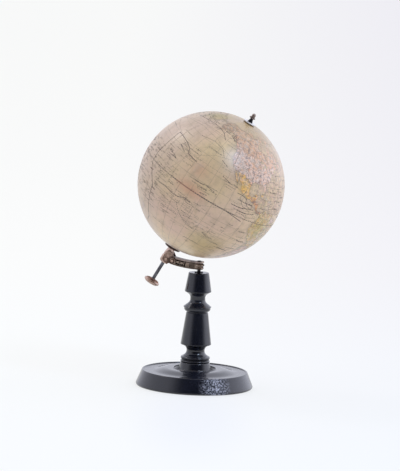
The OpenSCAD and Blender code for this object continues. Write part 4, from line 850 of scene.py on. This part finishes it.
def paper_sheet(name, lon_range, lat_range, shift):
    """A sheet of the map: a piece of the grid laid on the ball, with its cut edges turned down to the shell."""
    columns = np.arange(round((lon_range[0] + 180) / GRID), round((lon_range[1] + 180) / GRID) + 1)
    lines_of_lat = np.arange(round((lat_range[0] + 90) / GRID), round((lat_range[1] + 90) / GRID) + 1)
    last_row, last_column = len(lines_of_lat) - 1, len(columns) - 1
    verts, data = [], []

    def put(row, column, radius):
        lon, lat = LONS[columns[column]], LATS[lines_of_lat[row]]
        verts.append(AXLE_FRAME @ (on_ball(lon, lat, radius) * MM))
        here = lines_of_lat[row], columns[column]
        data.append((lon, lat + shift, 0, shore_mm[here], edge_mm[here], *tints[here], 1))
        return len(verts) - 1

    seam = SEAM_MM if lon_range[1] - lon_range[0] < 360 else 0.0
    index = [[put(i, j, PAPER_R - (seam if j in (0, last_column) else 0)) for j in range(last_column + 1)]
             for i in range(last_row + 1)]
    faces = [(index[i][j], index[i][j + 1], index[i + 1][j + 1], index[i + 1][j])
             for i in range(last_row) for j in range(last_column)]
    around = ([(0, j) for j in range(last_column)] + [(i, last_column) for i in range(last_row)]
              + [(last_row, j) for j in range(last_column, 0, -1)] + [(i, 0) for i in range(last_row, 0, -1)])
    skirt = [put(i, j, PAPER_R - SKIRT_MM) for i, j in around]
    for k, (i, j) in enumerate(around):
        after = (k + 1) % len(around)
        faces.append((index[i][j], skirt[k], skirt[after], index[around[after][0]][around[after][1]]))
    piece = add_mesh(name, verts, faces, "globe", map_paper)
    values = np.array(data, np.float32)
    for key, kind, unit, first, end in FIELDS:
        piece.data.attributes.new(key, kind, "POINT").data.foreach_set(unit, values[:, first:end].ravel())
    return piece


# The gores end where the two caps begin, and the caps are open round the axle. The gores do not quite meet: each
# one's print is shifted north or south by up to MISMATCH degrees.
CAP_LAT = 80.0
HOLE_LAT = 87.5
GORES = 12
MISMATCH = 0.12
gore_rng = random.Random(5)
gores = []
for gore in range(GORES):
    west = -180 + gore * 360 / GORES
    gores.append(paper_sheet(f"map_gore_{gore + 1}", (west, west + 360 / GORES), (-CAP_LAT, CAP_LAT),
                             gore_rng.uniform(-MISMATCH, MISMATCH)))
for piece in gores:
    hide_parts("paper_gores")
calottes = [paper_sheet("map_cap_north", (-180, 180), (CAP_LAT, HOLE_LAT), 0.1),
            paper_sheet("map_cap_south", (-180, 180), (-HOLE_LAT, -CAP_LAT), -0.1)]
for piece in calottes:
    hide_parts("polar_calottes")


# Fine ink on the map: bands, ticks and dots a hair above the paper

STROKE_W = 0.22
WORD_GAP = 0.6
ROW_PITCH = 0.46
ROW_WORD = 7


class Ink:
    """Gathers thin printed shapes and makes one piece of them."""

    def __init__(self, name, code):
        n = Nodes(name)
        cloud = n.noise(n.place(), 900, detail=3)
        colour = n.mix(n.range(cloud, 0.35, 0.7), code, tuple(min(1, 1.7 * c + 0.03) for c in hex_rgb(code)))
        self.material = n.finish(colour, n.range(cloud, 0.3, 0.7, 0.45, 0.58), Normal=n.bump(cloud, 0.00002, 0.4))
        self.name, self.verts, self.faces = name, [], []

    def band(self, points, width, longest=1.5):
        """A thin band along points given as (longitude, latitude)."""
        spots = [on_ball(lon, lat, INK_R) for lon, lat in refined(points, longest)]
        first = len(self.verts)
        for i, spot in enumerate(spots):
            way = spots[min(i + 1, len(spots) - 1)] - spots[max(i - 1, 0)]
            side = spot.cross(way).normalized() * width / 2
            self.verts += [spot - side, spot + side]
        self.faces += [(first + 2 * i, first + 2 * i + 2, first + 2 * i + 3, first + 2 * i + 1)
                       for i in range(len(spots) - 1)]

    def dashes(self, points, width, dash, gap):
        """A dashed line: each side of the path is cut into dashes, in degrees."""
        for a, b in zip(points, points[1:]):
            count = max(1, round(math.dist(a, b) / (dash + gap)))
            for i in range(count):
                start, end = i / count, (i + dash / (dash + gap)) / count
                self.band([between(a, b, start), between(a, b, end)], width)

    def patch(self, lon, lat, outline):
        """A flat shape at a place, its outline in millimetres east and north of it."""
        shrink = max(0.05, math.cos(math.radians(lat)))
        first = len(self.verts)
        self.verts += [on_ball(lon + x / DEGREE_MM / shrink, lat + y / DEGREE_MM, INK_R) for x, y in outline]
        self.faces.append(tuple(range(first, first + len(outline))))

    def ticks(self, lon, lat, length, size, rng, slope=0.0):
        """A row of plain strokes of uneven height in small groups, which stands for fine print."""
        x = 0.0
        while x < length:
            for _ in range(rng.randint(3, 7)):
                high, lean, y = size * rng.uniform(0.55, 1.0), rng.uniform(0, 0.15), slope * x
                self.patch(lon, lat, [(x, y), (x + STROKE_W, y), (x + STROKE_W + lean, y + high), (x + lean, y + high)])
                x += rng.uniform(0.38, 0.52)
            x += WORD_GAP

    def row(self, points, size, rng):
        """Plain strokes square to a path, in groups, for a row of print that follows a curve."""
        for a, b in zip(points, points[1:]):
            shrink = math.cos(math.radians(a[1]))
            east, north = (b[0] - a[0]) * shrink, b[1] - a[1]
            length = math.hypot(east, north)
            count = round(length * DEGREE_MM / ROW_PITCH)
            for i in range(count):
                if i % ROW_WORD == ROW_WORD - 2:
                    continue
                high = size * rng.uniform(0.6, 1.0) / DEGREE_MM
                lon, lat = between(a, b, i, count)
                self.band([(lon, lat), (lon - high * north / length / shrink, lat + high * east / length)], 0.3)

    def make(self):
        return add_mesh(self.name, [AXLE_FRAME @ (v * MM) for v in self.verts], self.faces, "globe",
                        self.material)


dark_ink = Ink("map_ink", "37312d")
faint_ink = Ink("map_fine_ink", "544b43")
red_ink = Ink("map_red_ink", "84452f")
isle_ink = Ink("map_isles", "94705a")
ink_rng = random.Random(11)

for line in drawn_borders:
    faint_ink.dashes(line, 0.16, dash=0.5, gap=0.25)
for line in drawn_rivers:
    faint_ink.band(line, 0.14, longest=0.8)

# The equator: two lines with every other degree filled, figures at each ten degrees, and its western part in red
EQUATOR_HALF = 0.34
for lon in range(-180, 180, 2):
    bold = -160 <= lon <= -102
    high = (2 if bold else 1) * EQUATOR_HALF * DEGREE_MM
    for lat in (-EQUATOR_HALF, EQUATOR_HALF):
        (dark_ink if bold else faint_ink).band([(lon, lat), (lon + 2, lat)], 0.2 if bold else 0.1)
    (red_ink if -155 <= lon <= -138 else dark_ink).band([(lon, 0), (lon + 1, 0)], high)
for lon in range(-180, 180, 10):
    dark_ink.band([(lon, -0.9), (lon, 0.9)], 0.16)
# The tropics, the polar circles and the prime meridian
for lat in (23.5, -23.5, 66.5, -66.5):
    faint_ink.dashes([(lon, lat) for lon in range(-180, 181, 20)], 0.2, dash=1.6, gap=0.7)
dark_ink.band([(0, lat) for lat in range(-80, 81, 5)], 0.2)

# Plain figures from 0 to 9, as strokes on a grid two wide and four high
STROKES = [lines(figure) for figure in """
    0,0 2,0 2,4 0,4 0,0 / 0.4,3.2 1.2,4 1.2,0 / 0,4 2,4 2,2.2 0,0 2,0 / 0,4 2,4 0.8,2.3 2,1.6 1.6,0 0,0
    / 1.5,0 1.5,4 0,1.3 2,1.3 / 2,4 0,4 0,2.3 2,2 1.7,0 0,0 / 1.8,4 0,2 0,0 2,0 2,2 0,2 / 0,4 2,4 0.8,0
    / 0,0 2,0 0,4 2,4 0,0 / 0.2,0 2,2 2,4 0,4 0,2 2,2""".split("/")]
FIGURE_UNIT = 0.24
FIGURE_PITCH = 2.9


def figures(ink, number, lon, lat):
    """A number written beside a place, its strokes as narrow bands."""
    unit = FIGURE_UNIT / DEGREE_MM
    shrink = max(0.05, math.cos(math.radians(lat)))
    for place, digit in enumerate(str(number)):
        for stroke in STROKES[int(digit)]:
            ink.band([(lon + (x + FIGURE_PITCH * place) * unit / shrink, lat + y * unit) for x, y in stroke], 0.1)


for lon in range(-180, 180, 10):
    figures(dark_ink, abs(lon), lon + 0.5, 0.7)
for lat in range(-70, 80, 10):
    for lon in (-180, -90, 0, 90):
        if lat:
            figures(faint_ink, abs(lat), lon + 0.4, lat + 0.5)

# The line of the date, a line off it to the isles, a broken one in the far north, and a short one on the equator
for line in lines("""
        174.5,29.7 175.1,23.4 174.7,15.2 173.5,6.3 174.6,-1.8 180,-8 187,-16 187,-45 180,-52 ;
        174.5,29.7 184,29.2 192,27.7 198,25.4 200,21.8 206,20.9 211,20.6"""):
    dark_ink.band(line, 0.6)
dark_ink.dashes(rows("155.5,50.4 171,54 187,56.2 199.5,56.4 210.5,54.1 218.5,49.1"), 0.6, dash=1.6, gap=0.4)
dark_ink.band(rows("-107,-0.3 -98.5,-1.6 -92,-2.8"), 0.6)
ROUTES = lines("""
    -122.5,37.7 -140,33 -157.5,21.5 -172,-13 175,-36 ; -122.5,37.7 -150,46 -175,47.5 -200,43 -219,36 ; -124,48.5
    -150,52 -176,50.5 -205,43.5 -219,36 ; -79.5,8.8 -100,5 -125,-5 -149.6,-17.5 -172,-29 -185,-37 ; -79.5,8.8 -92,12
    -108,20 -118,31 -123,37.5 ; -71.6,-33 -95,-31 -120,-28 -150,-19 ; -157.5,21.5 -180,30 -205,34 -220,35.3 ;
    -74,40.5 -50,45 -20,50.5 -5.5,49.9 ; -34,-8 -25,5 -17,15 -10,38""")
for route in ROUTES:
    faint_ink.dashes(route, 0.2, dash=1.6, gap=0.5)
CURRENTS = lines("""
    -143,-12 -144.6,-16.1 -139.8,-20.8 -131.4,-26.1 -123.7,-27.3 -120,-22.1 ; -132,-17 -132,-9 ; -100,20 -103,14
    -98,9 -90,7 ; -97,14 -94,10 -88,8.5 ; -84,3 -90,1.5 -95,3 ; -165,40 -150,43 -137,41 -131,35 ; -80,-22 -78,-30
    -80,-38""")
for current in CURRENTS:
    dark_ink.dashes(current, 0.42, dash=1.1, gap=0.45)

# Groups of small isles: longitude, latitude, how many, spread in degrees
ISLES = rows("""
    -155.6,19.6,1,0,0.75  -156.4,20.8,3,0.7,0.42  -158,21.4,1,0,0.4  -159.6,22,2,0.5,0.4  -166,24,3,4,0.25
    178,-17.8,6,1.2,0.42  -172,-13.8,3,1,0.42  -175,-20,6,1.6,0.28  -149.5,-17.6,5,1.6,0.32  -140,-9.5,6,1.6,0.3
    -145,-16.5,16,4.5,0.22  -159.5,-20.5,5,2,0.25  166,-15.5,9,3,0.4  159,-8.5,12,3.6,0.5  165.5,-21.4,3,1.2,0.6
    -173,1,6,3.5,0.22  173.5,0,10,4,0.22  170,9,12,4.5,0.22  151,8,12,6,0.22  145.5,16,8,3.4,0.25
    134.5,7.5,4,1.5,0.25  -170,52.6,8,6,0.4  -178,51.8,7,5,0.36  175,52.4,5,4,0.34  -153.6,57.5,2,0.6,0.75
    -132.3,53.3,3,0.8,0.6  -134.5,56.8,6,1.4,0.5  -90.8,-0.6,7,1.1,0.36  -109.3,-27.1,1,0,0.3  -110.8,18.8,2,0.8,0.3
    -118.3,29,1,0,0.3  -80,-33.6,2,0.8,0.3  -160,4,3,2,0.22  -66.4,18.2,1,0,0.6  -77.3,18.1,1,0,0.62
    -61.5,15,9,2.6,0.3  -75,24,12,2.6,0.32  -74,-44.5,9,1.6,0.42  -59,-51.7,2,0.9,0.75  -28,38.5,6,1.8,0.3
    -16,28.3,6,1.4,0.34  -24,16,7,1.4,0.3  9,40,2,0.8,0.7  14,37.5,1,0,0.85  25,35.2,1,0,0.6  33.2,35,1,0,0.5
    11.5,55.5,3,0.8,0.5  55.5,-21,3,1.2,0.35  73,3,8,3,0.2  92.8,12,4,1.5,0.3  123,10.5,8,1.6,0.55  119,10,2,0.8,0.5
    128,0,7,2,0.55  122,-8.6,7,2.6,0.5  132.8,33.7,1,0,0.75  147,45.5,6,2.6,0.4  151.5,48.5,6,2.6,0.35
    151,-4.8,3,2,0.75  -1,60.3,3,0.7,0.35  -7.5,62,1,0,0.35""")
for lon, lat, count, spread, size in ISLES:
    for _ in range(int(count)):
        x, y = lon + ink_rng.uniform(-spread, spread), lat + ink_rng.uniform(-spread, spread) * 0.55
        turn, flat = ink_rng.uniform(0, math.pi), ink_rng.uniform(0.5, 0.9)
        ring = [(math.cos(a) * size * ink_rng.uniform(0.75, 1.1),
                 math.sin(a) * size * flat * ink_rng.uniform(0.75, 1.1)) for a in (k * math.pi / 4 for k in range(8))]
        across, along = math.cos(turn), math.sin(turn)
        isle_ink.patch(x, y, [(u * across - v * along, u * along + v * across) for u, v in ring])

# Rows of fine print at sea: longitude, latitude, length and size in millimetres
SEA_PRINT = rows("""
    -146,8.2,15,1  -143,6.2,18,0.9  -137,4.2,15,0.9  -131,9.6,11,0.8  -128,7.4,9,1  -151,-6.6,12,0.9
    -147,-8.6,16,0.9  -139,-10.6,10,0.7  -122,20,9,0.9  -119,18,12,0.8  -118,16.2,8,0.7  -110,8.6,9,0.9
    -107,6.6,15,1.1  -104,4.4,14,0.9  -100,2.4,12,0.8  -97,12.2,10,0.9  -112,-29,12,1  -105,-31,12,0.8
    -95,-34,15,0.9  -84,-16,7,0.8  -88,-19,10,0.9  -172,-4,8,0.8  -170,-7,12,0.7  -168,3.4,12,0.8  -164,6.2,9,0.8
    -175,9.4,12,0.9  -176,12.4,14,0.9  -172,-10.5,10,0.7  -170,-15.6,12,0.8  -163,-17,9,0.8  -162,-21.6,12,0.7
    -178,-22,12,0.8  -157,-24.5,14,0.9  -152,-15,10,0.7  -140,-13.6,11,0.8  -139,-18.6,12,0.8  -172,24.8,8,0.8
    -170,28,10,0.8  -163,25.6,8,0.7  -154,22.6,9,0.8  -160,18.4,10,0.8  178,18,12,0.9  176,5,13,0.8  172,-3,12,0.8
    168,-11,12,0.8  166,11,12,0.8  160,-5,10,0.7  176,34,14,0.9  -150,36,16,1.2  -162,55.5,8,0.6  -150,57,9,0.7
    -137,47,10,0.8  -128,28,10,0.8  -176,-33,14,0.9  176,-30,12,0.8  -165,-42,16,1  -125,-40,18,1.2  -100,-48,16,1
    -72,26,12,0.8  -78,15,12,0.8  -65,14,10,0.8  -50,30,18,1.2  -40,38,14,0.9  -35,12,12,0.9  -25,-10,16,1.1
    -20,-28,16,1.1  -30,55,12,0.8  -15,-45,16,1  60,-5,16,1  75,-20,18,1.2  62,14,10,0.9  86,10,9,0.8  95,-30,14,1
    60,-42,16,1  110,12,8,0.8  132,22,12,0.9  125,-45,14,0.9  155,-38,10,0.9  150,30,12,0.9  2,66,10,0.8""")
for lon, lat, length, size in SEA_PRINT:
    dark_ink.ticks(lon, lat, length, size, ink_rng, slope=ink_rng.uniform(-0.03, 0.03))

# Rows that follow a curve, such as those off the coast of Central America
SEA_ROWS = lines("""
    -141.5,8.3 -136.2,8.3 -131.7,9.2 -123.4,7.9 ; -137,5.2 -129,6 ; -133,1.8 -127,2.8 ; -167.4,-10.4 -159.4,-9.6
    -153.4,-11 -146.4,-10.7 -141,-8.4 -135.5,-8.3 ; -106.5,16.2 -100,15.8 -96,14.2 ; -104,12.1 -95.5,11.4 -88.3,11.6
    ; -107,6.5 -99.2,6.5 -92.1,8.2 -86.4,8.8 ; -100,3.8 -92,4 -84,6 ; -112.5,20.4 -108,19.4 ; -114,-26.2 -109.5,-28
    -102.2,-27.7 ; -91.7,-34 -79,-34 ; -84,-30 -74,-29 ; -87.6,-11.4 -80.5,-10.8 ; -82,-20 -74,-19 ; -154.3,-28.2
    -146.4,-27.7 ; -172.3,23.4 -163.6,20.5 ; -124,22 -116,20 ; -131.5,32.5 -124,30 ; -140,57 -132,53.5 ; -151,57
    -143,58.5""")
for path in SEA_ROWS:
    dark_ink.row(path, 1.15, ink_rng)

# Crowded waters: west, east, south and north edges, and how many rows
CROWDED = rows("""
    146,190,-30,16,190  -178,-152,12,30,26  -86,-40,2,40,90  -150,-131,53,59,16  150,186,52,66,26
    -130,-72,-46,-5,46  -160,-126,-34,-4,46  -168,-150,-8,8,10""")
for west, east, low, high, count in CROWDED:
    while count:
        lon, lat = ink_rng.uniform(west, east), ink_rng.uniform(low, high)
        if shore_mm[round((lat + 90) / GRID), round((lon + 180) % 360 / GRID)] < -0.6:
            dark_ink.ticks(lon, lat, ink_rng.uniform(2, 6), ink_rng.uniform(0.6, 0.95), ink_rng,
                           slope=ink_rng.uniform(-0.1, 0.1))
            count -= 1

# Print on the land, scattered evenly and kept off the sea
LAND_WORDS = 800
land_rng = random.Random(23)
placed_words = 0
while placed_words < LAND_WORDS:
    lon, lat = land_rng.uniform(-180, 180), math.degrees(math.asin(land_rng.uniform(-0.85, 0.95)))
    if shore_mm[round((lat + 90) / GRID), round((lon + 180) / GRID)] < 0.4:
        continue
    faint_ink.ticks(lon, lat, land_rng.uniform(1.2, 4.5), land_rng.uniform(0.4, 0.75), land_rng)
    if land_rng.random() < 0.6:
        faint_ink.patch(lon, lat, [(-0.35, 0), (-0.2, -0.16), (0, 0), (-0.2, 0.16)])
    placed_words += 1

# Water off a busy coast carries the names of its towns: short rows of strokes beside every fifth point of the first
# three coasts
for coast in coasts[:3]:
    for lon, lat in coast[::5]:
        faint_ink.ticks(lon + 0.6, lat - 0.3, land_rng.uniform(1, 3), 0.5, land_rng)
for ink in (dark_ink, faint_ink, red_ink, isle_ink):
    ink.make()


# Stand: the foot and the column, turned from one half profile each

def hand_turned(depth, seed):
    """Small unevenness of a hand-turned face, always inwards."""
    rng = random.Random(seed)
    waves = [(rng.randint(2, 9), rng.uniform(0.05, 0.4), rng.uniform(0, 6.3)) for _ in range(6)]

    def shape(z, turn):
        total = sum(math.sin(k * turn + f * z + p) for k, f, p in waves) / len(waves)
        return -depth * (0.5 + 0.5 * total)
    return shape


# Profiles as (radius, height)
BASE_PROFILE = (
    [(0, 0.6), (50, 0.6), (51, 0), (61.9, 0)] + arc(61.9, 2, 2, -60, 10) + arc(56.9, 16.3, 1.1, 15, 168, 10)
    + [(47 - 17 * t / 12, 18.15 - 1.65 * math.cos(math.pi * t / 12)) for t in range(13)] + [(24, 19.8)]
    + arc(22.9, 19.6, 0.9, 20, 96, 8) + arc(20.2, 20.1, 2.6, 6, -172, 20)
    + [(17.45, 19.9), (16.2, 26.1), (15.7, 26.75), (0, 26.75)])
COLUMN_PROFILE = (
    [(0, 26.85), (14.4, 26.85)] + arc(14.7, 28.1, 1.3, -85, 88, 10) + [(14.1, 29.45), (14.1, 30.0)]
    + arc(14.3, 31.7, 1.7, -86, 118, 12) + [(13.3, 34.2)] + arc(15.9, 39.7, 6, -115.7, -244.3, 18)[1:-1]
    + [(13.3, 45.1), (13.4, 45.4), (16.7, 46.5), (16.7, 47.1), (12, 81.5), (11.4, 81.9), (11.4, 82.6)]
    + arc(10.8, 86.2, 3.7, -78, 8, 12) + [(14.7, 87.1), (15.2, 87.6), (15.2, 88.0), (14.4, 88.6), (12.5, 90.2)]
    + [(10.9, 91.4), (9.6, 92.6), (8.7, 93.9), (8.25, 95.4), (8.2, 97.6)] + arc(13.8, 97.6, 5.6, -180, -250, 10)[1:-1]
    + [(11.9, 102.9), (12.1, 103.3), (14.5, 104.6), (14.5, 105.2), (11.2, 124.9)] + arc(10.5, 124.8, 0.7, 10, 88, 5)
    + [(2.4, 125.5), (2.4, 124), (0, 124)])
CORNER_R = 0.3
turned("turned_base", refined(rounded(BASE_PROFILE, CORNER_R), 0.9), 288, base_black, "base", hand_turned(0.05, 3))
turned("turned_column", refined(rounded(COLUMN_PROFILE, CORNER_R), 0.8), 192, column_black, "column",
       hand_turned(0.04, 8))


# Metal parts that keep their CAD shape get their finish here

def dress(node, material):
    """Gives a CAD node its material."""
    piece = frame["nodes"][node]
    if not piece.material_slots:
        piece.data.materials.append(material)
    for slot in piece.material_slots:
        slot.material = material


for material, nodes in (
        (black_steel, "column_pin pin_washer flared_collar"), (carved, "arm"), (scrolled, "yoke_cheeks"),
        (bright_brass, "yoke_rivet lock_screw"), (rosy_brass, "trunnion_screws knob_nut"),
        (turned_brass, "sleeve knob"), (steel, "axle"), (brown_steel, "south_plate"),
        (cast_brass, "south_ferrule north_ferrule"), (metal_painted_white_reflection, "north_plate"), (dull_brass, "cap_nut"),
        (shell_board, "shell_south shell_north inner_hoop"),
        (plain_wood, "spindle pole_block_south pole_block_north")):
    for node in nodes.split():
        dress(node, material)


# Carving on the arm: four leaves in each sunk panel, and the filling under the plain pad

def on_arm(along, radius, y):
    """Point of the arm from its length along the middle arc, its radius from the arc's centre and its y."""
    angle = along / ARM_MID_R
    return Vector((-radius * math.sin(angle), y, ARM_CENTRE_Z - radius * math.cos(angle))) * MM


def leaf_height(u, v):
    """Height of a leaf above the panel: u runs from stem to tip, v from edge to edge, both about one unit."""
    half = 0.25 + 0.75 * math.sin(math.pi * min(1, 0.12 + 0.88 * u) ** 0.8)
    w = v / half
    if abs(w) >= 1:
        return 0.0
    return (1 - abs(w) ** 2.4) * (0.55 + 0.45 * math.sin(math.pi * u)) * (0.86 + 0.14 * math.cos(3 * math.pi * w))


LEAVES = 4
LEAF_ALONG, LEAF_ACROSS = 13, 15
LEAF_HALF = 1.75
PANEL_FROM, PANEL_TO = 15.6, 27.4
PAD_FROM, PAD_TO, PAD_STEPS = 11.4, 15.1, 8
PAD_RING = [(112.9, 1.7), (113.1, 3.35), (118.3, 3.35), (118.5, 1.7)]
for side, where in ((-1, "front"), (1, "back")):
    verts, faces = [], []
    pitch = (PANEL_TO - PANEL_FROM) / LEAVES
    for leaf in range(LEAVES):
        first = len(verts)
        for i in range(LEAF_ALONG + 1):
            for j in range(LEAF_ACROSS + 1):
                u, v = i / LEAF_ALONG, 2 * j / LEAF_ACROSS - 1
                along = PANEL_FROM + (leaf + 0.04 + 0.92 * u) * pitch
                high = 1.72 + 1.75 * leaf_height(u, v)
                verts.append(on_arm(along, ARM_MID_R + 0.25 + LEAF_HALF * v, side * high))
        for i in range(LEAF_ALONG):
            for j in range(LEAF_ACROSS):
                a, b = first + i * (LEAF_ACROSS + 1) + j, first + (i + 1) * (LEAF_ACROSS + 1) + j
                faces.append((a, b, b + 1, a + 1) if side < 0 else (a, a + 1, b + 1, b))
    add_mesh(f"arm_leaves_{where}", verts, faces, "bracket", carved)
    verts = [on_arm(PAD_FROM + (PAD_TO - PAD_FROM) * i / PAD_STEPS, radius, side * y)
             for i in range(PAD_STEPS + 1) for radius, y in PAD_RING]
    faces = [(4 * i + j, 4 * i + (j + 1) % 4, 4 * i + 4 + (j + 1) % 4, 4 * i + 4 + j)
             for i in range(PAD_STEPS) for j in range(4)]
    faces += [(3, 2, 1, 0), tuple(4 * PAD_STEPS + j for j in range(4))]
    add_mesh(f"arm_pad_{where}", verts, [f[::side] for f in faces], "bracket", carved, smooth=False)


# Cast ribs on the cheeks' faces: a curl round the rivet and a bow over the pivot screw

CHEEK_Y = 5.5
RIB_HALF = 0.3
RIB_H = 0.34
BOW_R = 3.95
RIB_ROUND = [(-1, -0.2), (-1, 0.35), (-0.55, 0.85), (0, 1), (0.55, 0.85), (1, 0.35), (1, -0.2)]


def rib(at, side, radius_at, start, end, count=26):
    """Points and faces of one rib: its radius about a place follows its turn, and its ends run out into the face.

    The turns are in degrees.
    """
    verts, across = [], len(RIB_ROUND)
    for i in range(count + 1):
        share = i / count
        turn = math.radians(start) + (math.radians(end) - math.radians(start)) * share
        swell = min(1, 5 * share + 0.3, 5 * (1 - share) + 0.3)
        for out, up in RIB_ROUND:
            far, high = radius_at(turn) + out * RIB_HALF * swell, CHEEK_Y + up * RIB_H * swell
            verts.append(Vector((at[0] + far * math.cos(turn), side * high, at[1] + far * math.sin(turn))) * MM)
    faces = [
        (across * i + j, across * i + (j + 1) % across, across * (i + 1) + (j + 1) % across, across * (i + 1) + j)
        for i in range(count) for j in range(across)]
    faces += [tuple(range(across))[::-1], tuple(across * count + j for j in range(across))]
    return verts, [f[::-side] for f in faces]


for side, where in ((-1, "front"), (1, "back")):
    curl, curl_faces = rib(RIVET_AT, side, lambda turn: CURL_PITCH * (2 - turn / math.tau), -47, 262, 36)
    bow, bow_faces = rib(TRUNNION_AT, side, lambda turn: BOW_R, -28, 196)
    add_mesh(f"cheek_scroll_{where}", curl + bow, curl_faces + [tuple(i + len(curl) for i in f) for f in bow_faces],
             "bracket", bright_brass)


# Studio: a white sweep in a bright room, a bluish window to the right and a lamp behind on the left

CAMERA_TURN = math.radians(11.5)
CAMERA_RISE = math.radians(7.9)
CAMERA_ROLL = math.radians(2.45)
CAMERA_AWAY = 5.5
CAMERA_LENS = 386.2
CAMERA_AIM = Vector((-0.0005, 0, 0.1661))
LAMP_AIM = Vector((0, 0, 0.17))


def towards(turn, rise):
    """Direction from the object, from a turn about it (0 looks from -Y) and a rise above the floor, in radians."""
    return Vector((math.sin(turn) * math.cos(rise), -math.cos(turn) * math.cos(rise), math.sin(rise)))


TO_FRONT, TO_RIGHT = towards(CAMERA_TURN, 0), towards(CAMERA_TURN + math.pi / 2, 0)


def looking(place, at):
    """Matrix of a lamp or camera at a place, pointed at another."""
    back = (place - at).normalized()
    right = Vector((0, 0, 1)).cross(back).normalized()
    up = back.cross(right)
    return Matrix((
        (right.x, up.x, back.x, place.x), (right.y, up.y, back.y, place.y),
        (right.z, up.z, back.z, place.z), (0, 0, 0, 1)))


camera_data = bpy.data.cameras.new("camera")
camera_data.sensor_fit = "VERTICAL"
camera_data.sensor_height = 36
camera_data.lens = CAMERA_LENS
camera_data.clip_start = 0.05
camera_data.clip_end = 100
camera = set_out("camera", camera_data)
camera_at = CAMERA_AIM + towards(CAMERA_TURN, CAMERA_RISE) * CAMERA_AWAY
camera.matrix_world = looking(camera_at, CAMERA_AIM) @ Matrix.Rotation(CAMERA_ROLL, 4, "Z")
bpy.context.scene.camera = camera


def soft_box(name, turn, rise, away, size, power, colour):
    """A lamp aimed at the globe, its turn from the camera's and its rise in degrees."""
    lamp = bpy.data.lights.new(name, "AREA")
    lamp.shape = "RECTANGLE"
    lamp.size, lamp.size_y = size
    lamp.energy = power
    lamp.color = colour
    piece = set_out(name, lamp)
    piece.matrix_world = looking(
        LAMP_AIM + towards(CAMERA_TURN + math.radians(turn), math.radians(rise)) * away, LAMP_AIM)
    piece.visible_camera = False


soft_box("window", 46, 46, 2.2, (0.4, 0.9), 15, (0.62, 0.76, 1.0))
soft_box("rear_box", -120, 52, 2.2, (0.5, 0.5), 5.5, (1.0, 0.95, 0.94))

# The white sweep goes round the sides and the back, the right side is the brighter one,
# and the room behind the camera, a little to its right, is dark
world = bpy.data.worlds.new("studio")
bpy.context.scene.world = world
studio = Nodes("studio", world)
ray = studio.made("ShaderNodeTexCoord", {}, "Generated")
ray_z = studio.split(ray)[2]
flat_length = studio.largest(studio.math("SQRT", 1.0 - ray_z * ray_z), 0.05)
to_dark = studio.dot(ray, towards(CAMERA_TURN + math.radians(13), 0)) / flat_length
to_right = studio.dot(ray, TO_RIGHT)
ahead = studio.range(to_dark, 0.24, 0.86, smooth=True)
below = studio.range(ray_z, 0.66, 0.90, 1.0, 0.0, smooth=True)
level = 1.0 + studio.range(to_right, 0.1, 0.85, smooth=True) * 0.7
level = level * studio.range(ahead * below, 0.0, 1.0, 1.0, 0.05)
light = studio.mix(studio.range(to_right, -0.5, 0.7), (0.975, 0.99, 1.105), (0.935, 0.965, 1.10))
scaled = studio.made("ShaderNodeVectorMath", {0: light, "Scale": level}, operation="SCALE")
# The backdrop that the camera sees has painted shade: greyer on the right half
backdrop = studio.mix(studio.range(to_right, -0.035, 0.045), "fdfdfd", "f1f1f6")
studio.feed(studio.mix(studio.ray("Camera"), scaled, backdrop), studio.tree.nodes["Background"].inputs[0])


SHADOW_POOL_AHEAD = 0.2
SHADOW_POOL_HALF = (0.085, 0.34)


def sweep_material():
    """The white sweep: its own white for the camera and for reflections, with the soft shadow left in, painted shade
    towards the right and the front, and a painted shadow before the foot.
    """
    n = Nodes("white_sweep")
    spot = n.made("ShaderNodeNewGeometry", {}, "Position")
    ahead, aside = n.dot(spot, TO_FRONT), n.dot(spot, TO_RIGHT)
    # Painted shade: greyer to the right and a little bluer near the front, as the light falls on the sweep in the
    # studio
    side, near = n.range(aside, -0.14, 0.38), n.range(ahead, -0.9, 0.5)
    white = n.mix(side, "fffffa", "f3f1f4")
    white = n.mix(near, white, n.mix(side, "fbfdfc", "f4f8fb"))
    # Painted shadow: bluer in a long pool before the foot, which looks round from the camera
    away = n.length(aside / SHADOW_POOL_HALF[0], (ahead - SHADOW_POOL_AHEAD) / SHADOW_POOL_HALF[1])
    white = n.mix(n.range(away, 0.15, 1.0, 0.5, 0.0, smooth=True), white, "ecf0fa")
    n.finish("e9eaee", 0.9)
    glow = n.made("ShaderNodeEmission", {0: white})
    seen = n.largest(n.ray("Camera"), n.ray("Glossy"))
    blend = n.made("ShaderNodeMixShader", {0: seen * 0.76, 1: n.bsdf.outputs[0], 2: glow})
    n.feed(blend, n.tree.nodes["Material Output"].inputs[0])
    return n.owner


SWEEP_R, SWEEP_Z, SWEEP_SIDES = 9.0, -0.0002, 64
sweep_ring = [Vector((SWEEP_R * math.cos(a), SWEEP_R * math.sin(a), SWEEP_Z))
              for a in (2 * k * math.pi / SWEEP_SIDES for k in range(SWEEP_SIDES))]
sweep_mesh = bpy.data.meshes.new("sweep")
sweep_mesh.from_pydata(sweep_ring, [], [tuple(range(SWEEP_SIDES))])
sweep_mesh.materials.append(sweep_material())
sweep = set_out("sweep", sweep_mesh)

bpy.context.scene.view_settings.view_transform = "Standard"
